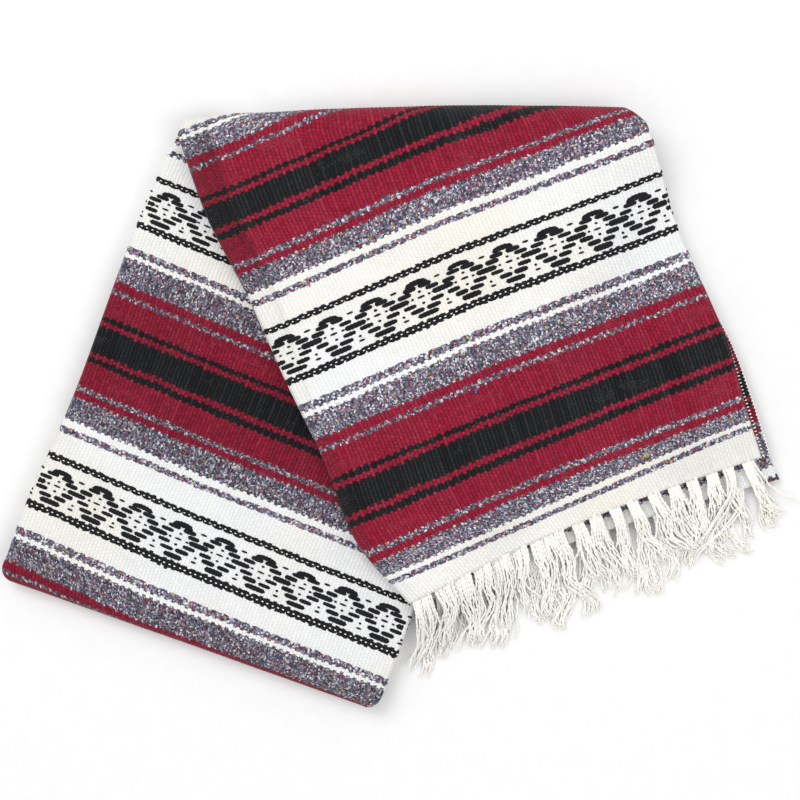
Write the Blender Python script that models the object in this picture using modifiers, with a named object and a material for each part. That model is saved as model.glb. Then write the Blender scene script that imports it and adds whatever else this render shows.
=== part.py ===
"""A striped woven blanket with fringed ends, folded up and laid flat.

The cloth is folded in four along its length into a strip, the strip is folded in half, and
the half strip is folded over on the slant, so two legs lie across each other like a
boomerang. Each leg is eight layers of cloth. The lower leg points down and to the left, the
upper leg lies on it and points down and to the right, where both fringed ends come out.

Two sheets show: the one on the upper leg, which turns under round the slanted fold, and the
one on the lower leg, which turns under round its end fold. The layers between them are one
rounded solid with the layers cut into its sides. Metres, +Z up, the floor at Z = 0.
"""
import math
import random

import bmesh
import bpy
from mathutils import Vector

# Driving sizes
LAYER = 0.0026            # one layer of cloth with the air under it
LAYERS_IN_LEG = 8
CLOTH = 0.0020            # thickness of a sheet's wall
SEAM = 0.0003             # gap between pieces that touch
SKIN_GAP = 0.0005         # gap between a sheet and the layers inside it
FOLD_FLATNESS = 0.82      # how far a fold is pressed flat, against a half circle
FOLD_FULLNESS = 0.35      # how much further the slanted fold stands out in its middle
FOLD_PULL = 0.006         # how far the slanted fold's two ends are drawn in
DRAPE_START = 0.008       # the upper leg starts to fall this far past the lower leg's edge
DRAPE_LENGTH = 0.075      # and is on the floor this much further out
FOLD_HOLD = 0.060         # the slanted fold holds the leg up over this length
PEEK = 0.0095             # how far the free edges stand out at the hem
VALLEY_DEPTH = 0.0012     # trough beside the upper leg's left edge, at the slanted fold
VALLEY_WIDTH = (0.009, 0.014)   # its distance from the edge at the hem, and what it gains
VALLEY_FADE = 1.2         # it is at its deepest before the fold, at one part in this
BEND_LIMITS = (0.15, 0.85)      # least and greatest share across of the bend over the lower leg
CORNER = 0.014            # radius of the lower leg's two outer corners
SKIN_STOP = math.radians(160)   # a sheet stops just before it meets the floor
CORE_STOP = math.radians(172)   # the layers inside it come out round it here
EDGE_WRAP = math.radians(60)    # how far a sheet goes round its side, past the widest point

# Fringe
BUNDLES = 18
STRANDS_IN_BUNDLE = 4
STRAND = 0.0021           # thickness of a strand
STRIP_DEPTH = 0.0024      # depth of the strip that holds the roots
STRAND_PITCH = 0.0032     # from strand to strand at the root
STRAND_SPREAD = 0.0012    # how much further apart two neighbours end
STRAND_TAPER = 0.45       # how much thinner a strand is at its end
STRAND_SHARES = (0.16, 0.5, 1.0)   # places along a strand that it bends at
SWING_EARLY = 1.6         # how early in its length a strand has swung
FRINGE_INSET = 0.01       # share of the hem left free at either end
LENGTH_WAVE = (0.92, 0.05, 1.7)    # middle, rise and step from bundle to bundle of the lengths
LENGTH_CHANCE = 0.06      # what chance adds to a strand's length
SHORTER_LEFT = 0.14       # how much shorter the strands are at the left end
TOP_SHORTER, UNDER_SHORTER = 0.15, 0.40   # and at the right end, of either fringe
TOP_SEED, UNDER_SEED = 3, 8
FRINGE_LENGTH = 0.078     # longest strands
TOWARDS_DOWN = 0.62       # how far the strands swing from square to the hem to straight down
RIGHT_LEAN = 0.35         # how much the last strands lean to the right instead
TOP_FALL = (0.0038, 0.062)      # height of the top fringe's ends, and where it reaches the floor
UNDER_FALL = (0.0013, 0.034)    # the same for the under fringe

# Centre of the plan, taken off every place so that the origin is under the middle
CENTRE = Vector((0.00135, -0.00635))

# Plan of the upper leg, from its hem to the slanted fold: the left and the right edge, and
# how far the middle of a line across bows away from straight
UPPER_LEG = (
    # share, left x, left y, right x, right y, bow
    (0.000, 0.0081, -0.1827, 0.3283, -0.0520, 0.008),
    (0.167, -0.0393, -0.1267, 0.3128, -0.0015, 0.006),
    (0.333, -0.0682, -0.0551, 0.2983, 0.0503, 0.004),
    (0.500, -0.1022, 0.0169, 0.2771, 0.1000, 0.002),
    (0.667, -0.1348, 0.0892, 0.2552, 0.1492, 0.002),
    (0.833, -0.1717, 0.1610, 0.2383, 0.2000, 0.001),
    (1.000, -0.1990, 0.2380, 0.2205, 0.2480, 0.000),
)

# Plan of the lower leg, from the slanted fold to its end fold
LOWER_LEG = (
    # share, left x, left y, right x, right y, bow
    (0.000, -0.2050, 0.2379, 0.1939, 0.2474, 0.000),
    (0.167, -0.2361, 0.1680, 0.1595, 0.1665, 0.000),
    (0.333, -0.2611, 0.1026, 0.1251, 0.0787, 0.000),
    (0.500, -0.2850, 0.0360, 0.0907, -0.0091, 0.000),
    (0.667, -0.3110, -0.0290, 0.0531, -0.0956, 0.000),
    (0.833, -0.3400, -0.0930, 0.0155, -0.1840, 0.000),
    (1.000, -0.3649, -0.1619, -0.0220, -0.2835, 0.000),
)

# Where the second layer's hem ends, beyond the top one
UNDER_HEM_LEFT = Vector((0.0100, -0.1870))
UNDER_HEM_RIGHT = Vector((0.3395, -0.0750))
UNDER_HEM_BOW = 0.006

# Heights worked out from the layers. "Out" below is the distance from the plane where the
# two legs meet: up in the upper leg, down in the lower leg, and outwards in the slanted fold
LEG = LAYER * LAYERS_IN_LEG
MEETING = LEG + SEAM / 2
FACE_IN = SEAM / 2
FACE_OUT = FACE_IN + LEG
CORE_IN = FACE_IN + CLOTH + SKIN_GAP
HALF = FACE_IN + LEG / 2
BIG_ROLL = LEG / 4
SMALL_ROLL = LAYER
CREASE = 0.0012           # the layers' inner face in the slanted fold
STEP = 0.0060             # where the layers stop behind a small roll
SHOULDER = 0.0015         # how far the layers beyond the top hem fall at their sides
SECTION_CHANGE = 0.038    # share of the lower leg in which its own section takes over
SECTION_BEGUN = 0.35      # how far it has taken over where the slanted fold ends
PLAIN = 0.95              # how much of a side's form is lost where it is squeezed or pressed
NOTCH = 0.0056            # depth of the notch between two big rolls
RIDGE, GROOVE = 0.0004, 0.0018   # insets of the free edges and of the grooves between them
BESIDE_ROLL = 0.0020      # inset of the layers just below a small roll
PEEK_SHARE, PEEK_FADE = 0.55, 0.45   # how far up the leg the free edges stand out, and fade
LOW_STEP = FACE_IN + 3 * LAYER   # height of the layers beyond the top hem
END_REACH = FOLD_FLATNESS * LEG / 2
CORE_CORNER = 0.006       # how much shorter the layers are than the sheet in the end fold


def smooth(value):
    """Ease from 0 to 1."""
    value = min(max(value, 0.0), 1.0)
    return value * value * (3.0 - 2.0 * value)


def row_at(table, share):
    """Read a table at a share of its length, on a smooth curve through its rows."""
    last = len(table) - 1
    place = min(max(share, 0.0), 1.0) * last
    first = min(int(place), last - 1)
    t = place - first
    values = []
    for column in range(1, len(table[0])):
        b, c = table[first][column], table[first + 1][column]
        a = table[first - 1][column] if first > 0 else 2 * b - c
        d = table[first + 2][column] if first + 2 <= last else 2 * c - b
        values.append(b + 0.5 * t * (c - a + t * (2 * a - 5 * b + 4 * c - d
                                                  + t * (3 * (b - c) + d - a))))
    return values


def edge_length(table, column):
    """Length of the left edge (column 1) or the right edge (column 3) of a leg."""
    places = [Vector(row[column:column + 2]) for row in table]
    return sum((b - a).length for a, b in zip(places, places[1:]))


LOWER_LEFT_LENGTH = edge_length(LOWER_LEG, 1)
LOWER_RIGHT_LENGTH = edge_length(LOWER_LEG, 3)


def beyond_lower_leg(x, y):
    """Distance of a place from the lower leg's right edge, positive outside it."""
    start = Vector(LOWER_LEG[0][3:5])
    along = Vector(LOWER_LEG[-1][3:5]) - start
    away = Vector((x, y)) - start
    return (away.y * along.x - away.x * along.y) / along.length


def drape(x, y):
    """How far the upper leg has fallen from the lower leg's top towards the floor."""
    start = Vector(UPPER_LEG[-1][1:3])
    along = Vector(UPPER_LEG[-1][3:5]) - start
    away = Vector((x, y)) - start
    from_fold = (away.x * along.y - away.y * along.x) / along.length
    fall = smooth((beyond_lower_leg(x, y) - DRAPE_START) / DRAPE_LENGTH)
    return (MEETING + FACE_IN) * fall * smooth(from_fold / FOLD_HOLD)


class Station:
    """A line across a leg, and how the layers are turned there."""

    def __init__(self, left, right, bow, share=0.0, turn=0.0, lower=0.0):
        self.left = Vector(left)
        self.right = Vector(right)
        self.bow = bow
        self.share = share
        self.turn = turn
        self.lower = lower            # 1 where the lower leg's section holds, 0 above the fold
        self.width = (self.right - self.left).length

    def at(self, across, out):
        """Point at a share across the leg and a distance out from the meeting plane."""
        plan = self.left.lerp(self.right, across)
        plan.y += 4.0 * self.bow * across * (1.0 - across)
        along = (self.right - self.left).normalized()
        outward = Vector((-along.y, along.x))
        fuller = 1.0 + FOLD_FULLNESS * 4.0 * across * (1.0 - across)
        reach = FOLD_FLATNESS * out * math.sin(self.turn) * fuller
        height = MEETING + out * math.cos(self.turn)
        if not self.lower and self.turn == 0.0:
            height -= drape(plan.x, plan.y)
        plan = plan + outward * reach - CENTRE
        return Vector((plan.x, plan.y, height))


def upper_station(share):
    """Line across the upper leg, at a share of the way from the hem to the slanted fold."""
    lx, ly, rx, ry, bow = row_at(UPPER_LEG, share)
    return Station((lx, ly), (rx, ry), bow, share)


def fold_station(turn):
    """Line in the slanted fold, from the upper leg at 0 to the lower leg at a half turn."""
    share = turn / math.pi
    top = UPPER_LEG[-1]
    low = LOWER_LEG[0]
    left = Vector(top[1:3]).lerp(Vector(low[1:3]), share)
    right = Vector(top[3:5]).lerp(Vector(low[3:5]), share)
    pull = FOLD_PULL * math.sin(turn)
    along = (right - left).normalized()
    return Station(left + along * pull, right - along * pull, top[5], 1.0, turn)


def lower_station(share_left, share_right):
    """Line across the lower leg; the two edges are each read at their own share."""
    lx, ly, _, _, bow = row_at(LOWER_LEG, share_left)
    _, _, rx, ry, _ = row_at(LOWER_LEG, share_right)
    lower = smooth(SECTION_BEGUN + share_left / SECTION_CHANGE)
    return Station((lx, ly), (rx, ry), bow, share_left, math.pi, lower)


def end_station(from_end, inside=0.0):
    """Line across the lower leg near its end fold, shorter where the corners are round."""
    station = lower_station(1.0 - from_end / LOWER_LEFT_LENGTH,
                            1.0 - from_end / LOWER_RIGHT_LENGTH)
    pull = inside
    if from_end < CORNER:
        pull += CORNER - math.sqrt(CORNER ** 2 - (CORNER - from_end) ** 2)
    along = (station.right - station.left).normalized()
    station.left += along * pull
    station.right -= along * pull
    station.width = (station.right - station.left).length
    return station


def roll(middle, radius, inset, start, stop, count):
    """Points round a rolled edge, as (inset from the edge, out), from angle to angle."""
    points = []
    for step in range(count):
        angle = start + (stop - start) * step / (count - 1)
        points.append((inset + radius * (1.0 - math.cos(angle)), middle + radius * math.sin(angle)))
    return points


def unrolled(radius, open_share, count):
    """Points from a sheet's side edge inwards; as it opens the roll turns into a flat strip."""
    length = radius * (math.pi / 2 + EDGE_WRAP)
    turned = (math.pi / 2 + EDGE_WRAP) * (1.0 - open_share)
    flat = length - radius * turned
    widest = flat + radius * math.sin(min(turned, math.pi / 2))
    points = []
    for step in range(count):
        place = length * (1.0 - step / (count - 1))
        angle = max(place - flat, 0.0) / radius
        across = min(place, flat) + radius * math.sin(angle)
        points.append((widest - across, radius * (1.0 - math.cos(angle))))
    return points


def columns(station):
    """Shares across a leg that its inner points lie at, a valley beside the edge first."""
    even = [(k + 1) / 12.0 for k in range(11)] + [1.0 - STEP / station.width]
    if station.lower:
        return even
    at_left = beyond_lower_leg(*station.left)
    at_right = beyond_lower_leg(*station.right)
    bend = (DRAPE_START - at_left) / (at_right - at_left)
    bend = min(max(bend, BEND_LIMITS[0]), BEND_LIMITS[1])
    valley = (VALLEY_WIDTH[0] + VALLEY_WIDTH[1] * station.share) / station.width
    over = [bend * share for share in (0.25, 0.45, 0.65, 0.85, 1.0)]
    beside = [bend + (1.0 - bend) * share for share in (0.1, 0.2, 0.35, 0.55, 0.8)]
    uneven = [valley] + over + beside + [1.0 - STEP / station.width]
    mix = station.turn / math.pi
    return [a + (b - a) * mix for a, b in zip(uneven, even)]


def dip(station, column):
    """Depth of the valley beside the left edge; only the first column has one."""
    if column or station.lower:
        return 0.0
    return VALLEY_DEPTH * smooth(station.share * VALLEY_FADE) * (1.0 - station.turn / math.pi)


def free_edges(top, stand_out):
    """Four free edges of cloth, one under another, as a ridge and a groove each."""
    pitch = (LEG - 4 * SMALL_ROLL - 2 * SEAM) / 4
    points = []
    for k in range(4):
        points.append((RIDGE - stand_out, top - (k + 0.5) * pitch))
        points.append((GROOVE - stand_out, top - (k + 1.0) * pitch))
    return points


def between(low, high, inset, down=False, count=5):
    """Rolled edge of the layers that fills the heights from low to high."""
    quarter = math.pi / 2
    ends = (quarter, -quarter) if down else (-quarter, quarter)
    return roll((low + high) / 2, (high - low) / 2, inset, *ends, count)


def upper_section(station):
    """Left side, right side, outer and inner face of the layers in the upper leg."""
    cover = CLOTH + SKIN_GAP
    if station.turn:
        cover /= FOLD_FLATNESS
    outer = FACE_OUT - cover
    inner = CREASE if station.turn else FACE_IN
    own_left = FACE_IN + 2 * BIG_ROLL - SEAM
    own_right = FACE_IN + 2 * SMALL_ROLL - SEAM
    small_out = FACE_OUT - 2 * SMALL_ROLL
    stand_out = PEEK * smooth((PEEK_SHARE - station.share) / PEEK_FADE)
    left = between(inner, own_left, 0.0)
    left += [(NOTCH, own_left), (NOTCH, own_left + cover)]
    left += between(own_left + cover, outer, cover)
    right = [(STEP, small_out - SEAM), (BESIDE_ROLL - stand_out / 2, small_out - 2 * SEAM)]
    right += free_edges(small_out - 3 * SEAM, stand_out)
    right += between(inner, own_right, -stand_out / 2, True, 4)
    return left, right, outer, inner


def lower_section():
    """Left side, right side, outer and inner face of the layers in the lower leg."""
    cover = CLOTH + SKIN_GAP
    covered = FACE_IN + 2 * BIG_ROLL - cover
    small_out = FACE_OUT - 2 * SMALL_ROLL
    left = between(CORE_IN, covered, cover)
    left += [(NOTCH, covered), (NOTCH, FACE_IN + 2 * BIG_ROLL + SEAM)]
    left += between(FACE_IN + 2 * BIG_ROLL + SEAM, MEETING, 0.0)
    right = between(small_out + SEAM, MEETING, 0.0, True, 4)
    right += free_edges(small_out, 0.0)
    right += [(STEP, FACE_IN + 2 * SMALL_ROLL + SEAM), (STEP, CORE_IN + SEAM)]
    return left, right, MEETING, CORE_IN


def pressed(side, top, first):
    """A side pressed under a height; what stood above lies inwards on a rounded shoulder."""
    points = []
    for k, (inset, out) in enumerate(side):
        if out > top - SEAM:
            place = abs(k - first) / len(side)
            inset, out = PLAIN * STEP * place, top - SHOULDER * (1.0 - place) ** 2
        points.append((inset, out))
    return points


def core_ring(station, low=False):
    """Section through the hidden layers, as a ring of points; low is beyond the top hem."""
    left, right, outer, inner = upper_section(station)
    if low:
        outer = LOW_STEP
        left = pressed(left, outer, 0)
        right = pressed(right, outer, len(right) - 1)
    if station.lower:
        below = lower_section()
        mix = station.lower
        left = [mixed(a, b, mix) for a, b in zip(left, below[0])]
        right = [mixed(a, b, mix) for a, b in zip(right, below[1])]
        outer += (below[2] - outer) * mix
        inner += (below[3] - inner) * mix
    shares = columns(station)
    ring = [(inset / station.width, out) for inset, out in left]
    ring += [(share, outer - dip(station, k)) for k, share in enumerate(shares)]
    ring += [(1.0 - inset / station.width, out) for inset, out in right]
    ring += [(share, inner) for share in reversed(shares)]
    return ring


def mixed(a, b, share):
    """Part of the way from one point to another."""
    return tuple(x + (y - x) * share for x, y in zip(a, b))


def ring_points(station, ring):
    """Places of a section's points on a station."""
    return [station.at(across, out) for across, out in ring]


def squeezed(station, ring, end_turn):
    """The ring drawn towards mid height, its sides ever plainer, for the rounded end."""
    half = HALF - CORE_IN - SKIN_GAP
    closer = math.cos(end_turn)
    plain = 1.0 - PLAIN * math.sin(end_turn)
    points = []
    for k, (across, out) in enumerate(ring):
        if k < LEFT_POINTS:
            across *= plain
        elif LEFT_POINTS + COLUMNS <= k < len(ring) - COLUMNS:
            across = 1.0 - (1.0 - across) * plain
        height = (out - HALF) / ((MEETING if out > HALF else 2 * HALF - CORE_IN) - HALF)
        points.append((across, HALF + height * half * closer))
    return points


def collection():
    """The collection that all pieces go into."""
    group = bpy.data.collections.new("folded_blanket")
    bpy.context.scene.collection.children.link(group)
    return group


def material(name, colour, roughness):
    """A plain finish for one piece."""
    finish = bpy.data.materials.new(name)
    finish.use_nodes = True
    shader = finish.node_tree.nodes["Principled BSDF"]
    shader.inputs["Base Color"].default_value = (*colour, 1.0)
    shader.inputs["Roughness"].default_value = roughness
    shader.inputs["Metallic"].default_value = 0.0
    return finish


def new_object(name, bm, finish, group, closed):
    """Turn a bmesh into an object; a closed one gets its faces pointed outwards."""
    if closed:
        bmesh.ops.recalc_face_normals(bm, faces=bm.faces)
    mesh = bpy.data.meshes.new(name)
    bm.to_mesh(mesh)
    bm.free()
    mesh.materials.append(finish)
    mesh.shade_smooth()
    piece = bpy.data.objects.new(name, mesh)
    group.objects.link(piece)
    return piece


def loft(rings, closed_rings):
    """Skin rows of points with quads; a closed ring is also capped at both ends."""
    bm = bmesh.new()
    rows = [[bm.verts.new(point) for point in ring] for ring in rings]
    count = len(rows[0])
    for near, far in zip(rows, rows[1:]):
        for k in range(count if closed_rings else count - 1):
            after = (k + 1) % count
            bm.faces.new((near[k], near[after], far[after], far[k]))
    if closed_rings:
        for row in (rows[0], rows[-1]):
            cap(bm, row)
    return bm


def cap(bm, row):
    """Close a section: quads from its outer to its inner face, and a face for each side."""
    across = row[LEFT_POINTS:LEFT_POINTS + COLUMNS]
    below = row[-COLUMNS:][::-1]
    for k in range(COLUMNS - 1):
        bm.faces.new((across[k], across[k + 1], below[k + 1], below[k]))
    left = bm.faces.new(row[:LEFT_POINTS] + [across[0], below[0]])
    right = bm.faces.new(row[LEFT_POINTS + COLUMNS - 1:1 - COLUMNS])
    bmesh.ops.triangulate(bm, faces=[left, right])


def solidify(piece):
    """Give a sheet its thickness on the inner side."""
    wall = piece.modifiers.new("wall", "SOLIDIFY")
    wall.thickness = CLOTH
    wall.offset = -1.0


UPPER_SHARES = (0.0, 0.06, 0.14, 0.24, 0.34, 0.45, 0.56, 0.67, 0.78, 0.89, 1.0)
FOLD_TURNS = [math.radians(angle) for angle in (25, 50, 72, 92, 112, 132, 150)]
LOWER_SHARES = (0.16, 0.32, 0.48, 0.64, 0.80)
BACK_START = 0.035
FOLD_SHARES = (0.008, 0.025)   # lines across the lower leg under the slanted fold
# Lines before the end fold: distance from it, how much shorter the layers are than the sheet,
# and how far the sheet's rolled sides have opened
END_START = ((0.030, 0.0010, 0.0), (0.022, 0.0022, 0.35), (CORNER, 0.0035, 0.7))
CORE_END_TURNS = [math.radians(angle) for angle in (0, 35, 60, 76)]
SHEET_END_TURNS = [math.radians(angle) for angle in (0, 22, 45, 68, 90, 112, 135, 165)]
LOW_CORE_SHARES = (1.0, 0.5, 0.06)     # lines from the second layer's hem to the top hem
LOW_SHEET_SHARES = (0.12, 0.5, 0.97)   # and from the top hem outwards, for the sheet there
LOW_SHEET_INSET = 0.02    # share of its width that this sheet leaves free at either side
LEFT_POINTS = 12          # points of a section's left side
COLUMNS = 12              # points across each face of a section


def under_hem_station(share):
    """Line between the top hem, at 0, and the second layer's hem, at 1."""
    top = upper_station(0.0)
    return Station(top.left.lerp(UNDER_HEM_LEFT, share), top.right.lerp(UNDER_HEM_RIGHT, share),
                   top.bow + (UNDER_HEM_BOW - top.bow) * share)


def hidden_layers(group):
    """All the layers inside the two legs, as one solid that goes round the slanted fold."""
    rings = []
    for share in LOW_CORE_SHARES:
        station = under_hem_station(share)
        rings.append(ring_points(station, core_ring(station, low=True)))
    for share in UPPER_SHARES:
        station = upper_station(share)
        rings.append(ring_points(station, core_ring(station)))
    for turn in FOLD_TURNS + [CORE_STOP]:
        station = fold_station(turn)
        rings.append(ring_points(station, core_ring(station)))
    for share in FOLD_SHARES + LOWER_SHARES:
        station = lower_station(share, share)
        rings.append(ring_points(station, core_ring(station)))
    for from_end, inside, _ in END_START:
        station = end_station(from_end, inside)
        rings.append(ring_points(station, core_ring(station)))
    reach = END_REACH - CLOTH - 3 * SKIN_GAP
    for end_turn in CORE_END_TURNS:
        station = end_station(END_REACH - reach * math.sin(end_turn), CORE_CORNER)
        rings.append(ring_points(station, squeezed(station, core_ring(station), end_turn)))
    finish = material("inner_cloth", (0.33, 0.28, 0.31), 0.9)
    return new_object("hidden_layers", loft(rings, True), finish, group, True)


def upper_sheet(group):
    """The sheet on the upper leg, round its two sides and round the slanted fold."""
    stations = [upper_station(share) for share in UPPER_SHARES]
    stations += [fold_station(turn) for turn in FOLD_TURNS + [SKIN_STOP]]
    quarter = math.pi / 2
    rows = []
    for station in stations:
        left = roll(FACE_OUT - BIG_ROLL, BIG_ROLL, 0.0, -EDGE_WRAP, quarter, 6)
        right = roll(FACE_OUT - SMALL_ROLL, SMALL_ROLL, 0.0, quarter, -EDGE_WRAP, 5)
        row = [(inset / station.width, out) for inset, out in left]
        row += [(share, FACE_OUT - dip(station, k)) for k, share in enumerate(columns(station))]
        row += [(1.0 - inset / station.width, out) for inset, out in right]
        rows.append(ring_points(station, row))
    finish = material("upper_cloth", (0.30, 0.02, 0.06), 0.9)
    piece = new_object("upper_leg_sheet", loft(rows, False), finish, group, False)
    face_up(piece)
    solidify(piece)
    return piece


def lower_sheet(group):
    """The sheet on the lower leg, round its two sides and round its end fold."""
    plain = [(lower_station(share, share), None, 0.0) for share in (BACK_START,) + LOWER_SHARES]
    plain += [(end_station(from_end), None, opened) for from_end, _, opened in END_START]
    ends = [(end_station(END_REACH * (1.0 - math.sin(end_turn))), end_turn, 1.0)
            for end_turn in SHEET_END_TURNS]
    rows = []
    for station, turn, open_share in plain + ends:
        left = unrolled(BIG_ROLL, open_share, 6)
        right = unrolled(SMALL_ROLL, open_share, 5)
        row = [(inset / station.width, depth) for inset, depth in left]
        row += [(share, 0.0) for share in columns(station)[:-1]]
        row += [(1.0 - inset / station.width, depth) for inset, depth in reversed(right)]
        if turn is None:
            rows.append([station.at(across, FACE_IN + depth) for across, depth in row])
        else:
            rows.append([end_fold_point(station, across, depth, turn) for across, depth in row])
    finish = material("lower_cloth", (0.62, 0.60, 0.57), 0.9)
    piece = new_object("lower_leg_sheet", loft(rows, False), finish, group, False)
    face_up(piece)
    solidify(piece)
    return piece


def end_fold_point(station, across, depth, turn):
    """Point of the lower sheet in the end fold, a depth inside its surface."""
    point = station.at(across, HALF - (LEG / 2 - depth) * math.cos(turn))
    along = (station.right - station.left).normalized()
    inward = Vector((-along.y, along.x)) * FOLD_FLATNESS * depth * math.sin(turn)
    return point + Vector((inward.x, inward.y, 0.0))


def face_up(piece):
    """Turn a sheet's faces so that the flat part on top faces up."""
    bm = bmesh.new()
    bm.from_mesh(piece.data)
    bmesh.ops.recalc_face_normals(bm, faces=bm.faces)
    flat = max(bm.faces, key=lambda face: face.calc_area())
    if flat.normal.z < 0.0:
        bmesh.ops.reverse_faces(bm, faces=bm.faces)
    bm.to_mesh(piece.data)
    bm.free()


def under_hem_sheet(group):
    """The strip of the second layer that shows beyond the top hem."""
    rows = []
    for share in LOW_SHEET_SHARES:
        station = under_hem_station(share)
        shares = [LOW_SHEET_INSET] + columns(station)[:-1] + [1.0 - LOW_SHEET_INSET]
        rows.append([station.at(across, LOW_STEP + SKIN_GAP + CLOTH) for across in shares])
    finish = material("under_cloth", (0.75, 0.73, 0.70), 0.9)
    piece = new_object("under_hem_sheet", loft(rows, False), finish, group, False)
    face_up(piece)
    solidify(piece)
    return piece


def strand_path(root, length, sway, across, fall, outward):
    """Places along a strand: out from the hem, then down in the plan and to the floor."""
    end_height, fall_length = fall
    points = []
    down = Vector((0.0, -1.0))
    lean = Vector((RIGHT_LEAN * across ** 3, 0.0))
    for share in STRAND_SHARES:
        swing = TOWARDS_DOWN * smooth(share * SWING_EARLY) * (1.0 - across ** 3)
        direction = (outward.lerp(down, swing) + lean * share).normalized()
        plan = Vector((root.x, root.y)) + direction * length * share
        plan.x += sway * share
        fallen = smooth(length * share / fall_length)
        points.append(Vector((plan.x, plan.y, root.z + (end_height - root.z) * fallen)))
    return points


def on_facets(edge, across):
    """Place at a share along a hem, on the straight runs between the sheet's points."""
    shares = [0.0] + columns(edge) + [1.0]
    after = next(k for k in range(1, len(shares)) if shares[k] >= across)
    near, far = shares[after - 1], shares[after]
    share = (across - near) / (far - near)
    return edge.at(near, edge.height).lerp(edge.at(far, edge.height), share)


def fringe(name, group, edge, fall, shorter, seed):
    """A narrow strip along a hem with the strands that grow from it, as one solid."""
    rng = random.Random(seed)
    bm = bmesh.new()
    cells = [(0.0, None)]
    bundle = 1.0 / BUNDLES
    for b in range(BUNDLES):
        for k in range(STRANDS_IN_BUNDLE):
            place = (k - (STRANDS_IN_BUNDLE - 1) / 2) * STRAND_PITCH / edge.width
            middle = (b + 0.5) * bundle + place
            half = STRAND / 2 / edge.width
            cells += [(middle - half, (b, k)), (middle + half, None)]
    cells.append((1.0, None))
    along = (edge.right - edge.left).normalized()
    outward = Vector((along.y, -along.x))
    rows = []
    for across, _ in cells:
        base = on_facets(edge, FRINGE_INSET + (1.0 - 2 * FRINGE_INSET) * across)
        front = Vector((outward.x, outward.y, 0.0)) * (SEAM + STRIP_DEPTH)
        back = Vector((outward.x, outward.y, 0.0)) * SEAM
        rise = Vector((0.0, 0.0, STRAND / 2))
        rows.append([bm.verts.new(base + front + rise), bm.verts.new(base + front - rise),
                     bm.verts.new(base + back)])
    roots = []
    for (near, far, cell) in zip(rows, rows[1:], cells):
        for k in range(3):
            after = (k + 1) % 3
            face = bm.faces.new((near[k], near[after], far[after], far[k]))
            if k == 0 and cell[1] is not None:
                roots.append((face, cell[1]))
    bm.faces.new(rows[0])
    bm.faces.new(rows[-1])
    bmesh.ops.recalc_face_normals(bm, faces=bm.faces)
    sides = Vector((along.x, along.y, 0.0))
    for face, (b, k) in roots:
        root = face.calc_center_median()
        spread = (k - (STRANDS_IN_BUNDLE - 1) / 2) * STRAND_SPREAD
        across = (b + 0.5) / BUNDLES
        middle, rise, step = LENGTH_WAVE
        length = FRINGE_LENGTH * (middle + rise * math.sin(step * b + seed)
                                  + LENGTH_CHANCE * rng.random())
        length *= 1.0 - SHORTER_LEFT * (1.0 - across) ** 2 - shorter * across ** 4
        path = strand_path(root, length, spread, across, fall, outward)
        for share, point in zip(STRAND_SHARES, path):
            grown = bmesh.ops.extrude_discrete_faces(bm, faces=[face])
            face = grown["faces"][0]
            thick = STRAND * (1.0 - STRAND_TAPER * share) / 2
            corners = sorted(face.verts, key=lambda v: ((v.co - root).dot(sides) > 0, v.co.z))
            shifts = ((-1, -1), (-1, 1), (1, -1), (1, 1))
            for vert, (side, up) in zip(corners, shifts):
                vert.co = point + sides * side * thick + Vector((0.0, 0.0, up * thick))
            root = point
    finish = material(name + "_cotton", (0.80, 0.78, 0.73), 0.95)
    return new_object(name, bm, finish, group, True)


def top_hem_edge():
    """The top hem, with the height that its fringe grows at."""
    edge = upper_station(0.0)
    edge.height = FACE_OUT - CLOTH / 2
    return edge


def under_hem_edge():
    """The second layer's hem, with the height that its fringe grows at."""
    edge = under_hem_station(1.0)
    edge.height = LOW_STEP + SKIN_GAP + CLOTH / 2
    return edge


def main():
    """Clear the scene and make all six pieces."""
    for old in list(bpy.context.scene.objects):
        bpy.data.objects.remove(old)
    group = collection()
    hidden_layers(group)
    upper_sheet(group)
    lower_sheet(group)
    under_hem_sheet(group)
    fringe("top_fringe", group, top_hem_edge(), TOP_FALL, TOP_SHORTER, TOP_SEED)
    fringe("under_fringe", group, under_hem_edge(), UNDER_FALL, UNDER_SHORTER, UNDER_SEED)


main()
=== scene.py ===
# %% [markdown]
# # A striped blanket, folded and laid flat
# The imported solids are loaded first and stay where they are. Every piece made below lies on
# them, in metres, with the floor at Z = 0.

import math
import random

import bmesh
import bpy
import numpy as np
from mathutils import Matrix, Vector


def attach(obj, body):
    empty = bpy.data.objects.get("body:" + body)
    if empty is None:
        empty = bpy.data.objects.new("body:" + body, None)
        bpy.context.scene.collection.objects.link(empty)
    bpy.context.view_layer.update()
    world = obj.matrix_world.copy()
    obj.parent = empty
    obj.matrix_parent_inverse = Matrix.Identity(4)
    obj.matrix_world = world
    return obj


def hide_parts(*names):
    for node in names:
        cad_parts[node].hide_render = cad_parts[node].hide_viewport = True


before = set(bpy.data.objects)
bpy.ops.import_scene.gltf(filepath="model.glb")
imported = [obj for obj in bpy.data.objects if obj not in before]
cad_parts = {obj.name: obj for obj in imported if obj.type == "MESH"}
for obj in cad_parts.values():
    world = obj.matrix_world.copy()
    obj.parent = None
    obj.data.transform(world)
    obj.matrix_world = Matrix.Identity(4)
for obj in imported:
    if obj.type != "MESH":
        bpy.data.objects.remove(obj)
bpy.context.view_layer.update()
print("solids:", sorted(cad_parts))

# %% [markdown]
# ## The folded strip
# A blanket like this is folded in four along its length, then in half, then over on the slant.
# What is left is two legs of eight layers each. Each leg is described by a short table: where
# its left and right edges run, seen from above. A line from edge to edge is carried down the
# leg, round the slanted fold and down the other leg. The same tables made the solids, so the
# cloth below lies on them without any fitting.

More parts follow.
